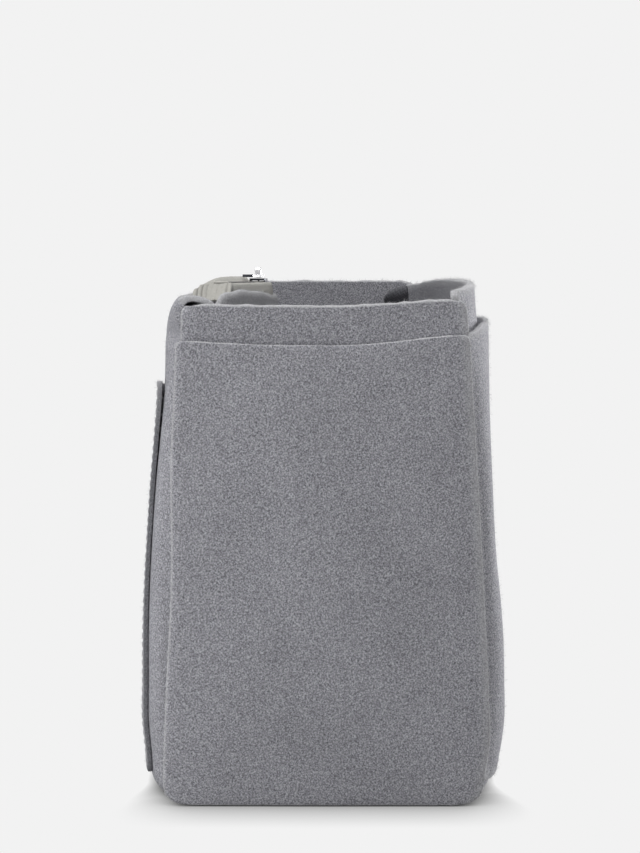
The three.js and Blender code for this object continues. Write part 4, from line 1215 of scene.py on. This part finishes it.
def teeth():
    pattern = tooth()
    tree = row_tree(pattern)
    base = mesh_piece("teeth_base", [(0, 0, 0)], [], resin)
    count = math.floor((CHAIN_LENGTH - TEETH_PITCH) / TEETH_PITCH)
    length = (count - 1) * TEETH_PITCH
    for side_name, stagger in (("left", TEETH_PITCH / 2), ("right", 0.0)):
        start = -(stagger + TEETH_PITCH / 4)
        values = {"Pitch": TEETH_PITCH * MM, "Count": float(count), "Start": start * MM, "Material": resin}
        made = grown(f"teeth_{side_name}", base, tree, values)
        turn = Matrix()
        if side_name == "left":
            # A half turn keeps the faces outwards; the row then runs the other way and is moved back.
            turn = Matrix.Translation((0, (2 * start - length) * MM, 0)) @ Matrix.Rotation(math.pi, 4, "Z")
        made.data.transform(zip_matrix() @ turn)
        shade_smooth(made.data)
        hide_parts(f"zip_teeth_{side_name}")
    discard(base)
    discard(pattern)


def softened(node, name, body, material, width, segments):
    """A copy of a rigid metal solid of the zip with its edges rounded off."""
    same_point = 0.002 * MM
    flat_angle = math.radians(1)
    sharp_angle = math.radians(28)
    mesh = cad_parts[node].data.copy()
    shape = bmesh.new()
    shape.from_mesh(mesh)
    bmesh.ops.remove_doubles(shape, verts=shape.verts, dist=same_point)
    bmesh.ops.dissolve_limit(shape, angle_limit=flat_angle, verts=shape.verts, edges=shape.edges)
    sharp = [e for e in shape.edges if len(e.link_faces) == 2 and e.calc_face_angle() > sharp_angle]
    bevel = {"offset": width * MM, "offset_type": "OFFSET", "segments": segments, "profile": 0.5}
    bmesh.ops.bevel(shape, geom=sharp, affect="EDGES", clamp_overlap=True, **bevel)
    shape.to_mesh(mesh)
    shape.free()
    mesh.materials.clear()
    mesh.materials.append(material)
    shade_smooth(mesh)
    made = link(name, mesh)
    made.modifiers.new("even_shading", "WEIGHTED_NORMAL")
    stands_for(made, node, body)
    return made


def pull_tab():
    """The pull: a plated tab with a navy-black painted reflection let into its upper face and over its tip.
    """
    made = softened("zip_pull", "pull_tab", "zip_pull", nickel, width=0.22, segments=2)
    made.data.materials.append(dark_reflection)
    shape = bmesh.new()
    shape.from_mesh(made.data)
    up = Vector(zip_up)
    tip = Vector(-zip_along)
    facing_up = 0.99
    facing_tip = 0.6
    top = [f for f in shape.faces if f.normal.dot(up) > facing_up]
    inset = {"thickness": REFLECTION_RIM * MM, "depth": -REFLECTION_DEPTH * MM, "use_even_offset": True}
    bmesh.ops.inset_region(shape, faces=top, **inset)
    # The painted dark reflection goes on the upper face and the tip.
    for f in top + [f for f in shape.faces if f.normal.dot(tip) > facing_tip]:
        f.material_index = 1
    shape.to_mesh(made.data)
    shape.free()


teeth()
softened("zip_slider_body", "slider_body", "zip_slider", gunmetal, width=0.2, segments=2)
softened("zip_slider_bridge", "slider_bridge", "zip_slider", nickel, width=0.3, segments=3)
pull_tab()
for stop_name in ("bottom_stop", "top_stop_left", "top_stop_right"):
    softened(f"zip_{stop_name}", stop_name, "organizer", lacquer, width=0.4, segments=3)


# Key strap and ring
def key_strap():
    """A band folded over at its top, sewn to the panel, and turned up round the ring's bar."""
    half = STRAP_THICKNESS / 2
    hem = half + STRAP_THICKNESS + STRAP_HEM_GAP
    lap = half + STRAP_THICKNESS + STRAP_LAP_GAP
    top = STRAP_LENGTH - STRAP_FOLD_TOP
    # Distance from the panel and height above the bar, from the hem over the fold to the lap.
    path = [(hem, top - STRAP_HEM), (hem + STRAP_HEM_GAP, top - STRAP_HEM_BEND)]
    path += arc((half + STRAP_FOLD, top - STRAP_FOLD_DROP), STRAP_FOLD, 0, math.pi, STRAP_FOLD_STEPS)
    back = np.linspace(top - STRAP_FOLD_LENGTH, STRAP_BACK_FOOT, STRAP_BACK_STEPS)
    path += [(half, z) for z in back]
    path += arc((LOOP_OUTER, 0), LOOP_INNER + half, math.pi, FULL_TURN, STRAP_LOOP_STEPS)
    path += [(lap + STRAP_NECK_OUT, STRAP_NECK * STRAP_NECK_SHARE)]
    path += [(lap, z) for z in (STRAP_NECK, (STRAP_NECK + STRAP_LAP) / 2, STRAP_LAP)]
    line = through(path, np.linspace(0, 1, STRAP_ROWS))
    across = np.linspace(-1, 1, STRAP_COLUMNS) * (STRAP_WIDTH / 2 - STRAP_RIM)
    x, out, level = np.broadcast_arrays(across, line[:, :1], line[:, 1:])
    local = x / (STRAP_WIDTH / 2)
    corner_start = top + STRAP_CORNER_RISE - STRAP_CORNER
    rounded = np.clip(-local, 0, 1) * corner_draw(STRAP_CORNER, level - corner_start)
    tilted = level + STRAP_TILT * local * fade_in(level, top - STRAP_TILT_LENGTH, top)
    lean = STRAP_LEAN * fade_in(tilted, STRAP_LEAN_START, STRAP_LENGTH)
    face = stack(STRAP_X + x + rounded - lean, STRAP_WALL - out, BAR_HEIGHT + tilted)
    face += grid_normals(face) * half
    made = sheet_mesh("webbing_key_strap", face, STRAP_THICKNESS, 1, webbing, seed=91, uv=True)
    stands_for(made, "key_strap", "organizer")


def tube(name, path, radius, material, sides):
    """A closed round wire along a flat path in a plane of x and z."""
    tangent = unit(np.roll(path, -1, axis=0) - np.roll(path, 1, axis=0))
    aside = np.array([0, 1, 0])
    out = np.cross(tangent, aside)
    turns = np.linspace(0, FULL_TURN, sides, endpoint=False)
    rings = [path + radius * (out * math.cos(t) + aside * math.sin(t)) for t in turns]
    return lofted(name, np.stack(rings, axis=1), material, closed=True)


def key_ring():
    """A wire ring with a straight bar at its top, which lies in the strap's loop."""
    half = STRAP_WIDTH / 2 + RING_ROOM + RING_WIRE / 2
    inner = half - RING_CORNER
    path = [(x, 0) for x in np.linspace(-inner, inner, RING_BAR_STEPS)]
    path += arc((inner, -RING_CORNER), RING_CORNER, QUARTER, 0, RING_CORNER_STEPS)[1:]
    path += [(half, z) for z in np.linspace(-RING_CORNER, -RING_ARM, RING_ARM_STEPS)[1:]]
    path += arc((0, -RING_ARM), half, 0, -math.pi, RING_BOW_STEPS)[1:-1]
    path += [(-half, z) for z in np.linspace(-RING_ARM, -RING_CORNER, RING_ARM_STEPS)]
    path += arc((-inner, -RING_CORNER), RING_CORNER, math.pi, QUARTER, RING_CORNER_STEPS)[1:-1]
    x, z = np.array(path).T
    place = stack(STRAP_X + x, STRAP_WALL - LOOP_OUTER, BAR_HEIGHT + z)
    made = tube("wire_key_ring", place, RING_WIRE / 2, gunmetal, RING_SIDES)
    stands_for(made, "key_ring", "key_ring")


key_strap()
key_ring()


# Stitches
def stitch_tree():
    """One stitch at each vertex: a bead of thread along the heading, half sunk in the cloth."""
    tree, given = new_tree("row_of_stitches", ["Length", "Radius"])
    bead = add(tree, "GeometryNodeMeshUVSphere", {"Segments": 6, "Rings": 4, "Radius": 1.0}).outputs[0]
    half = add(tree, "ShaderNodeMath", {0: given["Length"], 1: 0.5}, operation="MULTIPLY").outputs[0]
    size = add(tree, "ShaderNodeCombineXYZ", {0: half, 1: given["Radius"], 2: given["Radius"]}).outputs[0]
    stitch = add(tree, "GeometryNodeTransform", {"Geometry": bead, "Scale": size}).outputs[0]
    axes = {}
    for number, key in enumerate(("heading", "facing")):
        axis = add(tree, "GeometryNodeInputNamedAttribute", {"Name": key}, data_type="FLOAT_VECTOR")
        axes[number] = axis.outputs["Attribute"]
    turn = add(tree, "FunctionNodeAxesToRotation", axes, primary_axis="X", secondary_axis="Z").outputs[0]
    row = {"Points": given["Geometry"], "Instance": stitch, "Rotation": turn}
    copies = add(tree, "GeometryNodeInstanceOnPoints", row).outputs[0]
    return close_tree(tree, copies, given["Material"])


def sheet_line(name, row=None, column=None, first=0, last=None):
    """The points of one row or column of a sheet's face, and the directions that the face looks there."""
    mesh = bpy.data.objects[name].data
    rows, columns = grids[name]
    found = []
    for key in ("co", "normal"):
        values = np.zeros(3 * len(mesh.vertices))
        mesh.vertices.foreach_get(key, values)
        field = values.reshape(-1, 3)[: rows * columns].reshape(rows, columns, 3)
        found.append(field[row, first:last] if column is None else field[first:last, column])
    return found[0] / MM, found[1]


def sampled(field, run, places):
    """A field along a line, at distances along its run."""
    return np.stack([np.interp(places, run, field[:, k]) for k in range(3)], axis=-1)


def stitched(name, lines, pitch=STITCH_PITCH, length=STITCH_LENGTH, slant=0.0):
    """Stitches along lines on sheets. A slant turns each one across its line, in radians."""
    spots, headings, facings = [], [], []
    for points, normals in lines:
        run = run_of(points)
        places = np.arange(pitch / 2, run[-1], pitch)
        before, behind = [sampled(points, run, places + reach) for reach in (STITCH_REACH, -STITCH_REACH)]
        ahead = unit(before - behind)
        facing = unit(sampled(normals, run, places))
        across = np.cross(facing, ahead)
        spots.append(sampled(points, run, places) + STITCH_SEAT * facing)
        headings.append(ahead * math.cos(slant) + across * math.sin(slant))
        facings.append(facing)
    base = mesh_piece(f"{name}_base", np.concatenate(spots), [], thread)
    for key, values in (("heading", headings), ("facing", facings)):
        field = base.data.attributes.new(key, "FLOAT_VECTOR", "POINT")
        field.data.foreach_set("vector", np.concatenate(values).ravel())
    sizes = {"Length": length * MM, "Radius": THREAD_RADIUS * MM, "Material": thread}
    made = grown(name, base, stitch_rows, sizes)
    shade_smooth(made.data)
    discard(base)


stitch_rows = stitch_tree()
inner_columns = grids["felt_inner_pocket"][1]
pocket_lines = [sheet_line("felt_inner_pocket", column=k) for k in (1, inner_columns // 2, inner_columns - 2)]
pocket_lines += [sheet_line(f"felt_{side}_pocket", row=1) for side in ("inner", "right", "left")]
pocket_lines += [sheet_line("felt_left_pocket", column=k) for k in (1, -2)]
stitched("stitches_pockets", pocket_lines)
zip_lines = [sheet_line("felt_body_wrap", row=STRIP_ROWS, first=12, last=-4)]
zip_lines.append(sheet_line("felt_zip_pocket_front", row=-FRONT_RIM_ROWS - 2))
stitched("stitches_zip", zip_lines)
# Overcast seams along the sides of the end pockets, and of the panels above them.
end_lines = []
for end_piece, first_row in (("pocket", 3), ("panel", -HEAD_ROWS)):
    for end_name in ("near", "far"):
        sheet_name = f"felt_end_{end_piece}_{end_name}"
        end_lines += [sheet_line(sheet_name, column=k, first=first_row) for k in (0, -1)]
stitched("stitches_ends", end_lines, pitch=6, length=1.9, slant=1.1)
# A box of stitches through the strap's lap.
lap_start = 118  # rows of the strap
lap_end = 146
strap_lines = [sheet_line("webbing_key_strap", column=k, first=lap_start, last=lap_end) for k in (2, -3)]
strap_lines += [sheet_line("webbing_key_strap", row=k, first=2, last=-2) for k in (lap_start, lap_end)]
stitched("stitches_strap", strap_lines, pitch=2.4, length=1.8)

# The base board keeps its solid
board_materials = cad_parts["base_stiffener"].data.materials
board_materials.clear()
board_materials.append(board)

# Camera, as the photograph's, with places in metres from here on
CAMERA_PLACE = (0, -0.775, 0.2013)
CAMERA_DIP = 6.08  # degrees below level
CAMERA_LENS = 81.62
SENSOR_WIDTH = 36
scene = bpy.context.scene
camera_data = bpy.data.cameras.new("camera")
camera_data.sensor_width = SENSOR_WIDTH
camera_data.lens = CAMERA_LENS
scene.camera = link("camera", camera_data)
scene.camera.location = CAMERA_PLACE
scene.camera.rotation_euler = (math.radians(90 - CAMERA_DIP), 0, 0)

# Floor, background and light
PALE = "#f2f2f2"
FLOOR_GREY = "#9c9c9c"  # what the floor throws back on the felt
AMBIENT = 0.13
FLOOR_HALF = 6
# The painted contact shadow: where along the floor its reach grows, and its reach there, in metres.
CONTACT_ALONG = (-0.095, -0.145)
CONTACT_REACH = (0.004, 0.024)
LAMP_AIM = (0, 0, 0.09)
LAMPS = (
    # name, place, width, height and power
    ("overhead_light", (-0.3, -0.28, 1.3), 1.0, 1.0, 14.3),
    ("front_light", (-0.6, -1.45, 1.1), 0.87, 0.58, 4.6),
    ("right_light", (0.95, 0.75, 0.12), 0.7, 0.22, 17.5),
    ("left_light", (-0.26, -0.33, 0.05), 0.2, 0.3, 0.57),
    ("side_light", (-0.3, -0.02, 0.015), 0.3, 0.15, 0.24),
    ("inner_light", (0.45, -0.15, 0.5), 0.3, 0.3, 0.72),
    ("low_light", (0.14, -0.36, 0.02), 0.25, 0.12, 0.04),
)
scene.view_settings.view_transform = "Standard"


def seen_directly(tree):
    """1 for what the camera sees, also in a mirror or through glass."""
    path = add(tree, "ShaderNodeLightPath").outputs
    seen = path["Is Camera Ray"]
    for ray in ("Is Glossy Ray", "Is Transmission Ray"):
        seen = add(tree, "ShaderNodeMath", {0: seen, 1: path[ray]}, operation="MAXIMUM").outputs[0]
    return seen


def studio_world():
    world = bpy.data.worlds.new("studio")
    world.use_nodes = True
    tree = world.node_tree
    tree.nodes.clear()
    ambient = add(tree, "ShaderNodeBackground", {"Color": linear("#ffffff"), "Strength": AMBIENT}).outputs[0]
    backdrop = add(tree, "ShaderNodeBackground", {"Color": linear(PALE), "Strength": 1.0}).outputs[0]
    both = add(tree, "ShaderNodeMixShader", {0: seen_directly(tree), 1: ambient, 2: backdrop}).outputs[0]
    add(tree, "ShaderNodeOutputWorld", {"Surface": both})
    scene.world = world


def studio_floor():
    paint, tree = new_material("pale_studio_floor")
    plain = add(tree, "ShaderNodeBsdfDiffuse", {"Color": linear(FLOOR_GREY)}).outputs[0]
    # Painted contact shadow: ambient occlusion darkens the floor's glow and reaches further in front of the
    # near end, as a light from behind as well would cast it.
    place = add(tree, "ShaderNodeTexCoord").outputs["Object"]
    along = add(tree, "ShaderNodeSeparateXYZ", {0: place}).outputs[1]
    limits = {1: CONTACT_ALONG[0], 2: CONTACT_ALONG[1], 3: CONTACT_REACH[0], 4: CONTACT_REACH[1]}
    nearer = {"Value": along, **limits}
    reach = add(tree, "ShaderNodeMapRange", nearer, interpolation_type="SMOOTHSTEP").outputs[0]
    shadow = {"Color": linear(PALE), "Distance": reach}
    painted_shadow = add(tree, "ShaderNodeAmbientOcclusion", shadow, samples=16).outputs["Color"]
    glow = add(tree, "ShaderNodeEmission", {"Color": painted_shadow, "Strength": 1.0}).outputs[0]
    both = add(tree, "ShaderNodeMixShader", {0: seen_directly(tree), 1: plain, 2: glow}).outputs[0]
    add(tree, "ShaderNodeOutputMaterial", {"Surface": both})
    half = FLOOR_HALF / MM
    corners = [(-half, -half, 0), (half, -half, 0), (half, half, 0), (-half, half, 0)]
    mesh_piece("studio_floor", corners, [(0, 1, 2, 3)], paint)


def soft_light(name, place, width, height, power):
    lamp = bpy.data.lights.new(name, "AREA")
    lamp.shape = "RECTANGLE"
    lamp.size = width
    lamp.size_y = height
    lamp.energy = power
    made = link(name, lamp)
    made.location = place
    made.visible_camera = False
    made.rotation_euler = (Vector(LAMP_AIM) - Vector(place)).to_track_quat("-Z", "Y").to_euler()


studio_world()
studio_floor()
for lamp_values in LAMPS:
    soft_light(*lamp_values)
